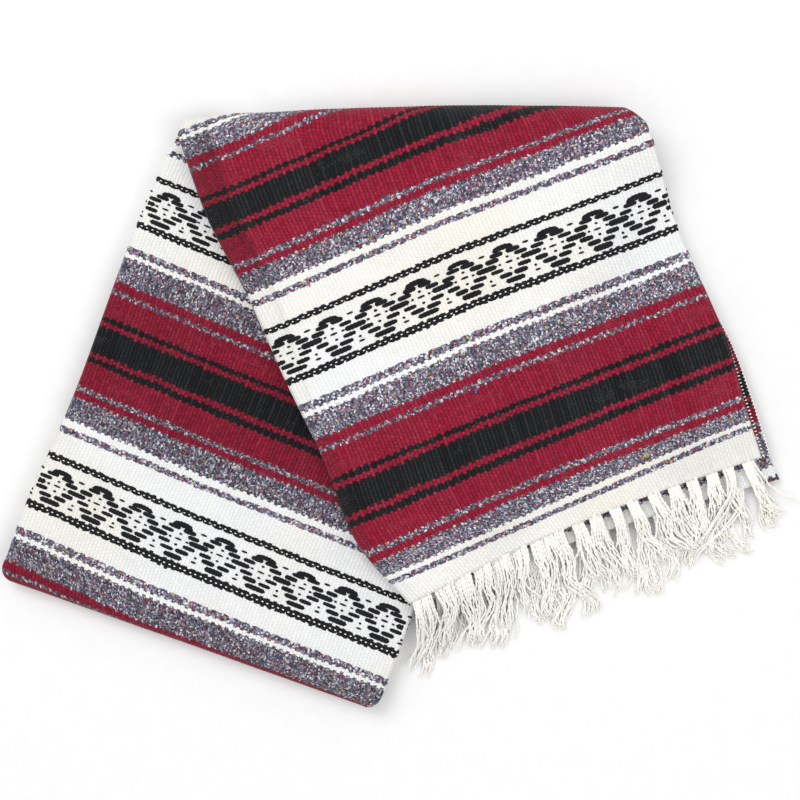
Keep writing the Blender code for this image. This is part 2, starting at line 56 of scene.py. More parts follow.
# %% Sizes of the folded stack
LAYER = 0.0026  # one layer of cloth, with its air
LEG = 8 * LAYER
SEAM = 0.0003  # gap between the two legs
MEETING = LEG + SEAM / 2  # height at which the legs meet
FACE_IN = SEAM / 2  # from there out to a leg's inner face
FACE_OUT = FACE_IN + LEG  # and out to its outer face
HALF = FACE_IN + LEG / 2
CLOTH = 0.0020  # thickness of a sheet
SKIN_GAP = 0.0005  # gap between a sheet and the layers under it
BIG_ROLL, SMALL_ROLL = LEG / 4, LAYER  # radius of the left side's rolls and of the right side's
EDGE_WRAP = math.radians(60)  # how far past upright a sheet goes round a side
FLATNESS, FULLNESS, FOLD_PULL = 0.82, 0.35, 0.006  # how flat, full and drawn in the slanted fold is
FOLD_LENGTH, END_LENGTH = 0.88, 0.91  # the cloth's length round a fold, over that of a half circle
DRAPE_START, DRAPE_LENGTH, FOLD_HOLD = 0.008, 0.075, 0.060  # where the upper leg sinks
END_REACH = FLATNESS * LEG / 2  # how far the end fold stands out
CORNER = 0.014  # radius of the end fold's corners, seen from above
CENTRE = np.array((0.00135, -0.00635))  # middle of the plan, which is moved to the origin
print("leg, millimetres thick:", round(1000 * LEG, 1))

# %% [markdown]
# The plan of each leg is a table with a row for each line across, from the hem to the slanted
# fold and from there to the end fold. The bow is how far a line's middle stands out.

# %% The plan of the two legs
UPPER_LEG = np.array((
    # left x, left y, right x, right y, bow
    (0.0081, -0.1827, 0.3283, -0.0520, 0.008),
    (-0.0393, -0.1267, 0.3128, -0.0015, 0.006),
    (-0.0682, -0.0551, 0.2983, 0.0503, 0.004),
    (-0.1022, 0.0169, 0.2771, 0.1000, 0.002),
    (-0.1348, 0.0892, 0.2552, 0.1492, 0.002),
    (-0.1717, 0.1610, 0.2383, 0.2000, 0.001),
    (-0.1990, 0.2380, 0.2205, 0.2480, 0.000),
))
LOWER_LEG = np.array((
    # left x, left y, right x, right y, bow
    (-0.2050, 0.2379, 0.1939, 0.2474, 0.000),
    (-0.2361, 0.1680, 0.1595, 0.1665, 0.000),
    (-0.2611, 0.1026, 0.1251, 0.0787, 0.000),
    (-0.2850, 0.0360, 0.0907, -0.0091, 0.000),
    (-0.3110, -0.0290, 0.0531, -0.0956, 0.000),
    (-0.3400, -0.0930, 0.0155, -0.1840, 0.000),
    (-0.3649, -0.1619, -0.0220, -0.2835, 0.000),
))
UNDER_HEM = np.array((0.0100, -0.1870, 0.3395, -0.0750, 0.006))


def ease(value):
    """Ease from 0 to 1."""
    value = np.clip(value, 0.0, 1.0)
    return value * value * (3.0 - 2.0 * value)


def along_leg(table, share):
    """The edges at a share of a leg's length, on a smooth curve through the table."""
    last = len(table) - 1
    place = min(max(share, 0.0), 1.0) * last
    first = min(int(place), last - 1)
    t = place - first
    b, c = table[first], table[first + 1]
    a = table[first - 1] if first > 0 else 2 * b - c
    d = table[first + 2] if first + 2 <= last else 2 * c - b
    return b + 0.5 * t * (c - a + t * (2 * a - 5 * b + 4 * c - d + t * (3 * (b - c) + d - a)))


def edge_length(table, column):
    """Length of the edge whose x is in a column of a table."""
    steps = np.diff(table[:, column:column + 2], axis=0)
    return float(np.hypot(steps[:, 0], steps[:, 1]).sum())


LOWER_LEFT, LOWER_RIGHT = edge_length(LOWER_LEG, 0), edge_length(LOWER_LEG, 2)
print("edges of the lower leg, metres:", round(LOWER_LEFT, 3), round(LOWER_RIGHT, 3))

# %% [markdown]
# The upper leg lies on the lower one and sinks to the floor where it leaves it. The fall is a
# smooth step in the distance from the lower leg's edge, and the slanted fold holds it up at
# the top. A stack of lines across the cloth is kept as one array, a row for each line, because
# whole grids of points are then placed in one go.

# %% Lines across the cloth, and where their points lie


def fall(x, y):
    """How far the upper leg has sunk at a place in the plan."""
    start, along = LOWER_LEG[0, 2:4], LOWER_LEG[-1, 2:4] - LOWER_LEG[0, 2:4]
    beyond = ((y - start[1]) * along[0] - (x - start[0]) * along[1]) / np.hypot(*along)
    top, across = UPPER_LEG[-1, :2], UPPER_LEG[-1, 2:4] - UPPER_LEG[-1, :2]
    from_fold = ((x - top[0]) * across[1] - (y - top[1]) * across[0]) / np.hypot(*across)
    sunk = MEETING + FACE_IN
    return sunk * ease((beyond - DRAPE_START) / DRAPE_LENGTH) * ease(from_fold / FOLD_HOLD)


def line(edges, turn=0.0, on_top=1.0, beyond=0.0, share=0.0, inside=0.0):
    """A line across: its edges, its turn in a fold, and the flat length it has turned through."""
    left, right = np.array(edges[:2]), np.array(edges[2:4])
    along = (right - left) / np.hypot(*(right - left))
    left, right = left + along * inside, right - along * inside
    return (*left, *right, edges[4], turn, on_top, beyond, share)


def fold_line(turn):
    """A line that has turned so far round the slanted fold."""
    share = turn / math.pi
    edges = UPPER_LEG[-1] * (1 - share) + LOWER_LEG[0] * share
    flat_length = FOLD_LENGTH * FACE_OUT * turn
    return line(edges, turn, 1.0, flat_length, 1.0, FOLD_PULL * math.sin(turn))


def end_line(from_end, inside=0.0):
    """A line of the lower leg so far from its end, drawn in round the two corners."""
    left = along_leg(LOWER_LEG, 1.0 - from_end / LOWER_LEFT)
    right = along_leg(LOWER_LEG, 1.0 - from_end / LOWER_RIGHT)
    pull = inside
    if from_end < CORNER:
        pull += CORNER - math.sqrt(CORNER ** 2 - (CORNER - from_end) ** 2)
    return line((*left[:2], *right[2:4], 0.0), math.pi, 0.0, 0.0, 1.0, pull)


def parts_of(lines):
    """The stack's columns, each ready to be combined with a row of shares across."""
    stack = np.array(lines)
    left, right = stack[:, None, 0:2], stack[:, None, 2:4]
    width = np.hypot(*(right - left).transpose(2, 0, 1))
    along = (right - left) / width[..., None]
    outward = np.stack((-along[..., 1], along[..., 0]), axis=-1)
    return left, right, width, along, outward, stack[:, None, 4], stack[:, None, 5:9]


def place(lines, across, out):
    """Points at shares across the cloth and distances out from where the two legs meet."""
    left, right, _, _, outward, bow, more = parts_of(lines)
    turn, on_top = more[..., 0], more[..., 1]
    plan = left + (right - left) * across[..., None]
    plan[..., 1] += 4 * bow * across * (1 - across)
    inner = np.clip(across, 0.0, 1.0)
    reach = FLATNESS * out * np.sin(turn) * (1 + FULLNESS * 4 * inner * (1 - inner))
    height = MEETING + out * np.cos(turn)
    height = height - on_top * (turn == 0) * fall(plan[..., 0], plan[..., 1])
    plan = plan + outward * reach[..., None] - CENTRE
    return np.concatenate((plan, height[..., None]), axis=-1)


def unfolded(lines, across):
    """Where the same points would lie in the plan if the cloth were spread out flat."""
    left, right, _, _, outward, bow, more = parts_of(lines)
    plan = left + (right - left) * across[..., None]
    plan[..., 1] += 4 * bow * across * (1 - across)
    return plan + outward * more[..., 2:3]


# %% [markdown]
# ## The stripes
# The stripes are woven in, so their order is the same all over the blanket. One repeat is
# charted, as the number of picks in each band; a pick is one pass of the shuttle.
# The bands differ a little in height from place to place, so two short tables say where the
# main ones lie along each leg. They are given near the left edge, in the middle and near the
# right edge, in the units of the view from straight above, and the rest is interpolated.

# %% The chart of one repeat
CHART = (
    # yarn, height in the view, picks
    ("white", 1.5, 1), ("black", 4.3, 3), ("white", 1.5, 1),
    ("diamonds", 47.0, 26),
    ("white", 1.5, 1), ("black", 4.3, 3), ("white", 1.5, 1),
    ("white", 22.0, 12), ("grey", 6.0, 4), ("white", 6.0, 4), ("grey", 25.0, 14),
    ("burgundy", 7.0, 4), ("grey", 6.0, 3), ("burgundy", 26.0, 14), ("black", 7.0, 4),
    ("burgundy", 6.0, 3), ("black", 27.0, 15), ("burgundy", 6.0, 3), ("black", 7.0, 4),
    ("burgundy", 25.0, 14), ("grey", 7.0, 4), ("burgundy", 6.0, 3), ("grey", 23.0, 13),
    ("white", 7.0, 4), ("grey", 6.0, 4), ("white", 23.0, 13),
)
HEIGHTS = np.concatenate(([0.0], np.cumsum([row[1] for row in CHART])))
PICKS = np.concatenate(([0.0], np.cumsum([row[2] for row in CHART])))
REPEAT_HEIGHT, REPEAT = float(HEIGHTS[-1]), float(PICKS[-1])
LAST_AT_HEM = REPEAT - 3.5
MM_IN_VIEW = 0.9
print("one repeat:", REPEAT, "picks,", round(REPEAT_HEIGHT * MM_IN_VIEW), "mm")

# %% [markdown]
# Each row of the two tables below is one edge between bands: its place in the chart, and how
# far along the leg it lies at the left, in the middle and at the right. The views say where the
# leg starts and how it slopes in the view from straight above.

# %% Where the bands lie on each leg
UPPER_BANDS = np.array((
    # place in the chart, at the left, in the middle, at the right
    (-250.0, -33, -38, -36), (-189.0, 18, 13, 15), (-150.0, 57, 52, 54), (-137.0, 69, 61, 64),
    (-110.0, 93, 84.5, 87),
    (-97.0, 105, 98, 106), (-72.0, 131, 122.5, 127), (-59.0, 143, 135, 138),
    (-36.0, 166, 160, 161), (-23.0, 179, 172, 175), (0.0, 203.5, 197, 201),
    (7.3, 210, 205, 207), (54.3, 257.5, 252, 256), (61.6, 265, 260.5, 263.5),
    (83.6, 287, 282.5, 285), (95.6, 301, 295.5, 298), (120.6, 326, 321.5, 322),
    (127.6, 334, 328.5, 330), (133.6, 340, 335, 336), (159.6, 366, 363, 361.5),
    (172.6, 380, 376, 375), (199.6, 408, 403, 401), (212.6, 421.5, 416, 414),
    (237.6, 446, 438.5, 439), (250.6, 460, 451.5, 451.5), (273.6, 479, 471, 466.5),
    (280.6, 482.5, 477, 470), (286.6, 488, 481.5, 475), (308.5, 515, 506, 498),
))
LOWER_BANDS = np.array((
    # place in the chart, at the left, in the middle, at the right
    (-100.0, -17, -15, -14), (0.0, 83, 85, 86), (7.3, 89, 91, 92), (54.3, 131.5, 134, 135),
    (61.6, 138.5, 141, 142), (83.6, 159, 161.5, 163), (95.6, 170, 173, 175),
    (120.6, 197, 200, 201), (133.6, 210, 213, 214), (159.6, 232, 235, 236),
    (172.6, 244, 247, 248), (199.6, 271.5, 273.5, 275), (212.6, 282, 286, 287),
    (237.6, 306, 309, 311), (250.6, 317.5, 321, 322), (273.6, 343, 347, 347),
    (286.6, 356, 358.5, 359), (309.6, 378, 383, 385), (317.0, 386, 390, 392),
    (364.0, 430, 435.5, 437), (371.2, 438, 444.5, 446), (393.0, 460, 466, 468),
    (405.2, 472.5, 480, 480), (430.2, 497, 505, 504), (500.0, 567, 575, 574),
))
UPPER_VIEW = dict(start=(165.0, 150.0), slope=math.radians(-21.5), columns=(50, 233, 400))
LOWER_VIEW = dict(start=(165.0, 90.0), slope=math.radians(21.3), columns=(40, 167, 300))
VIEW_HEIGHT, VIEW_SCALE, VIEW_MIDDLE = 1.400, 1519.8, 400.0
print("edges of bands:", len(UPPER_BANDS), "and", len(LOWER_BANDS))

# %% [markdown]
# A point of the cloth is looked up by where it lies in that view. The point's height counts
# too, because what is higher looks larger.

# %% From a place to a pick


def column_weights(u, columns):
    """How much each of the three columns counts at a place across the leg."""
    a, b, c = columns
    t = np.clip((u - a) / (b - a), 0.0, 1.0)
    s = np.clip((u - b) / (c - b), 0.0, 1.0)
    return 1.0 - t, t * (1.0 - s), s


def pick_at(plan, height, bands, view):
    """The pick that passes through a place in the plan."""
    scale = VIEW_SCALE / (VIEW_HEIGHT - height)
    x = VIEW_MIDDLE + plan[..., 0] * scale - view["start"][0]
    y = VIEW_MIDDLE - plan[..., 1] * scale - view["start"][1]
    cos, sin = math.cos(view["slope"]), math.sin(view["slope"])
    u, v = x * cos + y * sin, y * cos - x * sin
    places = [np.interp(v, bands[:, k], bands[:, 0]) for k in (1, 2, 3)]
    chart = sum(w * p for w, p in zip(column_weights(u, view["columns"]), places))
    return chart_to_pick(chart)


def chart_to_pick(chart):
    """The pick at a height in the chart, which repeats."""
    repeats = np.floor(chart / REPEAT_HEIGHT)
    return repeats * REPEAT + np.interp(chart - repeats * REPEAT_HEIGHT, HEIGHTS, PICKS)


# %% [markdown]
# ## The woven finish
# The cloth is weft-faced: thick picks cover the warp completely, and pass over one warp rib and
# under the next. Each rib therefore shows every second pick as a small seed, and the seeds of
# neighbouring ribs are offset like bricks. The finish follows that. The map on each sheet counts
# ribs one way and picks the other, the shader rounds a place to its seed, and the whole seed
# takes the colour of its pick. So the edges of the stripes interlock as woven ones do. The
# alternative, smooth painted bands, would have edges that no loom makes.

# %% Colours of the yarns
YARNS = {
    "white": (0.735, 0.745, 0.745),
    "diamonds": (0.735, 0.745, 0.745),
    "black": (0.0020, 0.0026, 0.0034),
    "burgundy": (0.238, 0.0015, 0.022),
    "grey": (0.18, 0.17, 0.20),
}
FLECKS = (
    # share of the yarn, colour
    (0.19, (0.040, 0.038, 0.054)), (0.16, (0.105, 0.098, 0.145)), (0.14, (0.20, 0.19, 0.26)),
    (0.11, (0.33, 0.325, 0.39)), (0.11, (0.60, 0.605, 0.65)), (0.06, (0.07, 0.085, 0.15)),
    (0.07, (0.16, 0.075, 0.13)), (0.05, (0.055, 0.09, 0.09)), (0.04, (0.25, 0.012, 0.040)),
    (0.03, (0.30, 0.235, 0.17)), (0.02, (0.36, 0.15, 0.21)), (0.008, (0.42, 0.13, 0.04)),
    (0.006, (0.10, 0.20, 0.10)), (0.003, (0.50, 0.38, 0.08)), (0.003, (0.06, 0.12, 0.38)),
)
print("yarns:", ", ".join(YARNS), "and", len(FLECKS), "flecks")

# %% [markdown]
# A material is a net of small nodes. Wiring each by hand takes many lines, so one class holds
# the net and has a short call for every kind of node that the finishes need.

# %% Helpers that wire up a material


class Wires:
    """A material's nodes, with short calls for the ones used most."""

    def __init__(self, name):
        """Start a new material with the usual shader."""
        self.material = bpy.data.materials.new(name)
        self.material.use_nodes = True
        self.tree = self.material.node_tree
        self.shader = self.tree.nodes["Principled BSDF"]

    def put(self, socket, value):
        """Link a node's output to a socket, or set the socket's own value."""
        if isinstance(value, bpy.types.NodeSocket):
            self.tree.links.new(value, socket)
        else:
            socket.default_value = value

    def math(self, operation, a, b=0.0, c=None):
        """A sum, product or other operation on up to three values."""
        node = self.tree.nodes.new("ShaderNodeMath")
        node.operation = operation
        self.put(node.inputs[0], a)
        self.put(node.inputs[1], b)
        if c is not None:
            self.put(node.inputs[2], c)
        return node.outputs[0]

    def mix(self, share, a, b, blend="MIX"):
        """Two colours blended by a share."""
        node = self.tree.nodes.new("ShaderNodeMix")
        node.data_type = "RGBA"
        node.blend_type = blend
        self.put(node.inputs[0], share)
        self.put(node.inputs[6], a if isinstance(a, bpy.types.NodeSocket) else (*a, 1.0))
        self.put(node.inputs[7], b if isinstance(b, bpy.types.NodeSocket) else (*b, 1.0))
        return node.outputs[2]

    def ramp(self, place, stops, interpolation="CONSTANT"):
        """A colour looked up along a list of (position, colour) stops."""
        node = self.tree.nodes.new("ShaderNodeValToRGB")
        node.color_ramp.interpolation = interpolation
        elements = node.color_ramp.elements
        elements.remove(elements[1])
        elements[0].position, elements[0].color = stops[0][0], (*stops[0][1], 1.0)
        for position, colour in stops[1:]:
            elements.new(position).color = (*colour, 1.0)
        self.put(node.inputs[0], place)
        return node.outputs[0]

    def joined(self, x, y, z=0.0):
        """Three values as one vector."""
        node = self.tree.nodes.new("ShaderNodeCombineXYZ")
        for socket, value in zip(node.inputs, (x, y, z)):
            self.put(socket, value)
        return node.outputs[0]

    def noise(self, vector, scale, detail=2.0):
        """Soft cloudy noise from 0 to 1."""
        node = self.tree.nodes.new("ShaderNodeTexNoise")
        self.put(node.inputs["Vector"], vector)
        node.inputs["Scale"].default_value = scale
        node.inputs["Detail"].default_value = detail
        return node.outputs["Fac"]

    def chance(self, vector):
        """A value for each whole-numbered place that looks random."""
        node = self.tree.nodes.new("ShaderNodeTexWhiteNoise")
        node.noise_dimensions = "3D"
        self.put(node.inputs["Vector"], vector)
        return node.outputs["Value"]

    def bump(self, height, distance, strength=1.0, normal=None):
        """A normal bent by a height, on top of another where one is given."""
        node = self.tree.nodes.new("ShaderNodeBump")
        node.inputs["Strength"].default_value = strength
        node.inputs["Distance"].default_value = distance
        self.put(node.inputs["Height"], height)
        if normal is not None:
            self.put(node.inputs["Normal"], normal)
        return node.outputs[0]


def finished(wires, colour, normal, roughness=0.92, sheen=0.08):
    """Join a colour and a bump to a dull, slightly fuzzy surface."""
    shader = wires.shader
    wires.put(shader.inputs["Base Color"], colour)
    wires.put(shader.inputs["Normal"], normal)
    shader.inputs["Roughness"].default_value = roughness
    shader.inputs["Sheen Weight"].default_value = sheen
    shader.inputs["Sheen Roughness"].default_value = 0.5
    shader.inputs["Specular IOR Level"].default_value = 0.15
    return wires.material


# %% [markdown]
# One material serves every woven piece. Its grey yarn is spun from waste of many colours, so a
# grey band is broken into small irregular cells, and each takes a colour from a short list of
# flecks by chance.

# %% The flecked grey yarn


def by_chart(test):
    """Stops of a ramp over one repeat: white where the test holds for a yarn, else black."""
    return [(PICKS[k] / REPEAT, (float(test(row[0])),) * 3) for k, row in enumerate(CHART)]


def fleck_stops():
    """Stops of a ramp that gives each fleck its share."""
    starts = np.concatenate(([0.0], np.cumsum([row[0] for row in FLECKS])))
    return [(float(start), row[1]) for start, row in zip(starts, FLECKS)]


def flecked(wires, vector):
    """A cell pattern in which every cell takes the colour of a fleck by chance."""
    cells = wires.tree.nodes.new("ShaderNodeTexVoronoi")
    wires.put(cells.inputs["Vector"], vector)
    cells.inputs["Scale"].default_value = 1.0
    parts = wires.tree.nodes.new("ShaderNodeSeparateColor")
    wires.put(parts.inputs[0], cells.outputs["Color"])
    return wires.ramp(parts.outputs[0], fleck_stops())


# %% [markdown]
# The map of threads is wavy by a pick or so, as picks beaten in by hand are, and each place is
# rounded to the seed that it lies on. On odd ribs the seeds sit half a step further along.

# %% The seeds


def threads_of(wires):
    """The map of ribs and picks, the two apart with waves in the picks, and the edge shade."""
    uv = wires.tree.nodes.new("ShaderNodeUVMap")
    uv.uv_map = "threads"
    split = wires.tree.nodes.new("ShaderNodeSeparateXYZ")
    wires.put(split.inputs[0], uv.outputs[0])
    m = wires.math
    slow = m("MULTIPLY_ADD", wires.noise(uv.outputs[0], 0.13, 1.0), 2.4, -1.2)
    quick = m("MULTIPLY_ADD", wires.noise(uv.outputs[0], 0.55, 0.0), 1.4, -0.7)
    picks = m("ADD", m("ADD", split.outputs[1], slow), quick)
    rolled = wires.tree.nodes.new("ShaderNodeAttribute")
    rolled.attribute_name = "rolled"
    return uv.outputs[0], split.outputs[0], picks, rolled.outputs["Fac"]


def seed_of(m, ribs, picks):
    """The rib and the pick of the seed that a place lies on."""
    rib = m("FLOOR", ribs)
    odd = m("FLOORED_MODULO", rib, 2.0)
    half = m("ROUND", m("MULTIPLY", m("SUBTRACT", picks, odd), 0.5))
    return rib, m("MULTIPLY_ADD", half, 2.0, odd)


# %% [markdown]
# The colour of a seed comes from the chart. Then the small faults of a used blanket are added:
# cream patches on the white, pale lint on the ribs' tops, a tone that varies from seed to seed,
# and warp that shows through where the cloth is worn. Painted shade is added too: in the gaps
# between the seeds, as a painted highlight on the ribs' tops, as a cream tint and darker tone on
# the rolled edge, and all over in a second, darker copy of the finish. The dark yarns vary more
# than the white.

# %% The weave


def weave(name, painted_light_level=1.0):
    """The finish of a woven piece; a painted light level under 1 darkens it as painted shade."""
    wires = Wires(name)
    m = wires.math
    threads, ribs, picks, rolled = threads_of(wires)
    rib, pick = seed_of(m, ribs, picks)
    # colour by the chart, with the grey broken into flecks
    in_repeat = m("FRACT", m("DIVIDE", m("ADD", pick, 0.5), REPEAT))
    colour = wires.ramp(in_repeat, [(PICKS[k] / REPEAT, YARNS[row[0]]) for k, row in enumerate(CHART)])
    grey = wires.ramp(in_repeat, by_chart(lambda yarn: yarn == "grey"))
    pale = wires.ramp(in_repeat, by_chart(lambda yarn: yarn in ("white", "diamonds")))
    cells = wires.joined(m("MULTIPLY", ribs, 2.5), m("MULTIPLY", picks, 1.2))
    colour = wires.mix(grey, colour, flecked(wires, cells))
    # cream patches on the white, and a cream tint as painted shade where the rolled value is set
    place_in_piece = wires.tree.nodes.new("ShaderNodeTexCoord").outputs["Object"]
    patches = wires.noise(place_in_piece, 7.0, 2.0)
    cream_and_shade = wires.ramp(patches, [(0.42, (0.0,) * 3), (0.68, (1.0,) * 3)], "LINEAR")
    cream_and_shade = m("MULTIPLY", pale, m("MAXIMUM", cream_and_shade, rolled))
    colour = wires.mix(cream_and_shade, colour, wires.mix(1.0, colour, (1.0, 0.955, 0.875), "MULTIPLY"))
    # pale lint on the tops of the ribs, with a painted highlight there, more on some ribs than on others
    across = m("MULTIPLY", m("ABSOLUTE", m("SUBTRACT", m("FRACT", ribs), 0.5)), 2.0)
    top = m("SUBTRACT", 1.0, m("POWER", across, 2.0))
    lint_and_highlight = wires.noise(wires.joined(m("MULTIPLY", ribs, 3.6), m("MULTIPLY", picks, 1.3)), 1.4, 2.0)
    lint_and_highlight = m("MULTIPLY", m("MAXIMUM", m("SUBTRACT", lint_and_highlight, 0.36), 0.0), m("MULTIPLY", top, 0.105))
    lint_and_highlight = m("MULTIPLY", lint_and_highlight, m("MULTIPLY_ADD", wires.chance(wires.joined(rib, 0.0)), 0.9, 0.45))
    lint_and_highlight = wires.joined(lint_and_highlight, m("MULTIPLY", lint_and_highlight, 1.05), m("MULTIPLY", lint_and_highlight, 1.1))
    colour = wires.mix(1.0, colour, lint_and_highlight, "ADD")
    # a tone that varies within and between seeds, more on dark yarns, and clouds over it; a painted light
    # level under 1 darkens it as painted shade, the dark yarns most
    chance = wires.chance(wires.joined(rib, pick))
    fine = wires.noise(wires.joined(m("MULTIPLY", ribs, 3.0), m("MULTIPLY", picks, 0.8)), 1.3, 3.0)
    cloudy = m("MULTIPLY_ADD", wires.noise(threads, 0.05, 2.0), 0.16, 0.92)
    loud = m("MULTIPLY_ADD", pale, -0.84, 1.0)
    fine = m("MULTIPLY", m("SUBTRACT", fine, 0.5), 1.7)
    vary = m("MULTIPLY_ADD", m("SUBTRACT", chance, 0.5), 0.34, fine)
    plain = m("MULTIPLY_ADD", pale, 0.8 * (1.0 - painted_light_level), painted_light_level)
    tone = m("MULTIPLY", m("MULTIPLY_ADD", vary, loud, plain), cloudy)
    # how far a place is from its seed's middle: the seed's height, and painted shade in the gap round it
    up = m("ABSOLUTE", m("SUBTRACT", picks, pick))
    far = m("MULTIPLY", m("ADD", m("POWER", across, 3.0), m("POWER", up, 3.0)), 0.5)
    seed_height = m("SQRT", m("MAXIMUM", m("SUBTRACT", 1.0, far), 0.0))
    gap_shade = m("MULTIPLY", m("POWER", far, 0.8), m("MULTIPLY_ADD", pale, -0.36, 0.50))
    tone = m("MULTIPLY", tone, m("SUBTRACT", 1.0, gap_shade))
    # painted shade where the rolled value is set: the rolled edge, its crease and the hem's right end
    shaded = m("MULTIPLY", rolled, m("MULTIPLY_ADD", pale, -0.32, 0.46))
    tone = m("MULTIPLY", tone, m("SUBTRACT", 1.0, shaded))
    # warp showing between the seeds where the cloth is worn
    worn = m("MAXIMUM", m("GREATER_THAN", wires.noise(threads, 0.09, 2.0), 0.62), rolled)
    worn = m("MULTIPLY", worn, m("SUBTRACT", 0.80, pale))
    warp_shows = m("MULTIPLY", m("GREATER_THAN", far, 0.78), worn)
    colour = wires.mix(1.0, colour, wires.joined(tone, tone, tone), "MULTIPLY")
    colour = wires.mix(warp_shows, colour, (0.50, 0.47, 0.44))
    # seeds and fibres in the bump
    fibres = wires.noise(place_in_piece, 1500.0, 3.0)
    normal = wires.bump(seed_height, 0.0007, 0.8, wires.bump(fibres, 0.0003, 0.5))
    return finished(wires, colour, normal)


WEAVE = weave("woven_stripes")
# The same finish darkened all over as painted shade, for the lower leg and the layers inside.
WEAVE_SHADED = weave("woven_stripes_shaded", 0.78)
print("weave:", len(WEAVE.node_tree.nodes), "nodes")

# %% [markdown]
# ## A sheet of cloth
# Each sheet starts as a flat grid. Its points are then moved onto the fold's shape, three
# columns of points to a warp rib, so that the ribs stand up as real ridges, and the same grid
# carries the count of ribs and picks. A simulated drape would soften the folds too much for a
# stiff blanket that was pressed flat by hand, so the few creases it has are listed one by one.

# %% From a flat grid to a piece
RIB_HEIGHT = 0.00035
FLAT_RIBS = 106
LEFT_COLUMNS, RIGHT_COLUMNS = 12, 6


def woven_grid(name, points, threads, rolled=None):
    """A flat grid moved onto rows of points; threads holds each point's rib and pick, and
    rolled says how far the point belongs to a tight, shaded edge."""
    rows, columns = points.shape[:2]
    bm = bmesh.new()
    bmesh.ops.create_grid(bm, x_segments=columns - 1, y_segments=rows - 1, size=1.0)
    mesh = bpy.data.meshes.new(name)
    bm.to_mesh(mesh)
    bm.free()
    flat = np.empty(len(mesh.vertices) * 3, np.float32)
    mesh.vertices.foreach_get("co", flat)
    flat = flat.reshape(-1, 3)
    column = np.rint((flat[:, 0] + 1) / 2 * (columns - 1)).astype(int)
    row = np.rint((flat[:, 1] + 1) / 2 * (rows - 1)).astype(int)
    mesh.vertices.foreach_set("co", points[row, column].astype(np.float32).ravel())
    corners = np.empty(len(mesh.loops), np.int32)
    mesh.loops.foreach_get("vertex_index", corners)
    uv = mesh.uv_layers.new(name="threads")
    uv.data.foreach_set("uv", threads[row, column][corners].astype(np.float32).ravel())
    if rolled is not None:
        edge = mesh.attributes.new("rolled", "FLOAT", "POINT")
        edge.data.foreach_set("value", rolled[row, column].astype(np.float32))
    mesh.update()
    return mesh


def face_up(mesh):
    """Turn a sheet's faces so that its flat part faces up."""
    bm = bmesh.new()
    bm.from_mesh(mesh)
    if sum(face.normal.z * face.calc_area() for face in bm.faces) < 0:
        bmesh.ops.reverse_faces(bm, faces=bm.faces)
    bm.to_mesh(mesh)
    bm.free()


def face_out(mesh):
    """Turn the faces of closed solids outwards."""
    bm = bmesh.new()
    bm.from_mesh(mesh)
    bmesh.ops.recalc_face_normals(bm, faces=bm.faces)
    bm.to_mesh(mesh)
    bm.free()


def as_piece(name, mesh, finish, *nodes, slot=None):
    """An object from a mesh. It rides on the blanket and may stand for solids of the frame."""
    mesh.shade_smooth()
    mesh.materials.append(finish)
    piece = bpy.data.objects.new(name, mesh)
    bpy.context.scene.collection.objects.link(piece)
    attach(piece, "root")
    if nodes:
        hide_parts(*nodes)
    print(name, len(mesh.polygons), "faces")
    return piece


def wall(piece, thickness=CLOTH):
    """Give a sheet its thickness, on its inner side."""
    modifier = piece.modifiers.new("thickness", "SOLIDIFY")
    modifier.thickness = thickness
    modifier.offset = -1.0


# %% [markdown]
# The two long sides of each leg are rolled edges: the left one holds four layers and is fat,
# the right one holds two and is slim. A line across a sheet is therefore a piece of the left
# roll, a flat run and a piece of the right roll. Near the lower leg's end fold the rolls open
# out flat, so that the cloth can turn under there.

# %% One line across a sheet


def rolled_side(radius, count, opened):
    """Inset, depth, flat place and tilt of points round a rolled side, rim first, and the
    inset at which the roll has become flat."""
    length = radius * (math.pi / 2 + EDGE_WRAP)
    turned = (math.pi / 2 + EDGE_WRAP) * (1.0 - opened)
    straight = length - radius * turned
    widest = straight + radius * math.sin(min(turned, math.pi / 2))
    place = length * (1.0 - np.arange(count) / count)
    angle = np.maximum(place - straight, 0.0) / radius
    across = np.minimum(place, straight) + radius * np.sin(angle)
    return widest - across, radius * (1 - np.cos(angle)), widest - place, angle, widest


def lines_across(lines, opened):
    """Share across, depth, flat share and tilt of every point of a sheet, one row a line."""
    stack = np.array(lines)
    widths = np.hypot(stack[:, 2] - stack[:, 0], stack[:, 3] - stack[:, 1])
    rows = []
    for width, share in zip(widths, opened):
        left = rolled_side(BIG_ROLL, LEFT_COLUMNS, share)
        right = rolled_side(SMALL_ROLL, RIGHT_COLUMNS, share)
        run = np.linspace(left[4], width - right[4], 3 * FLAT_RIBS + 1)
        still = np.zeros_like(run)
        rows.append((
            np.concatenate((left[0], run, width - right[0][::-1])) / width,
            np.concatenate((left[1], still, right[1][::-1])),
            np.concatenate((left[2], run, width - right[2][::-1])) / width,
            np.concatenate((-left[3], still, right[3][::-1])),
        ))
    return (*np.array(rows).transpose(1, 0, 2), widths[:, None])


COLUMNS_ACROSS = LEFT_COLUMNS + 3 * FLAT_RIBS + 1 + RIGHT_COLUMNS
RIB_NUMBERS = (np.arange(COLUMNS_ACROSS) - LEFT_COLUMNS) / 3.0 + 0.5
RIDGES = np.where(np.arange(COLUMNS_ACROSS) % 3 == 0, RIB_HEIGHT, 0.0)
print("columns across a sheet:", COLUMNS_ACROSS, "for", FLAT_RIBS, "ribs")
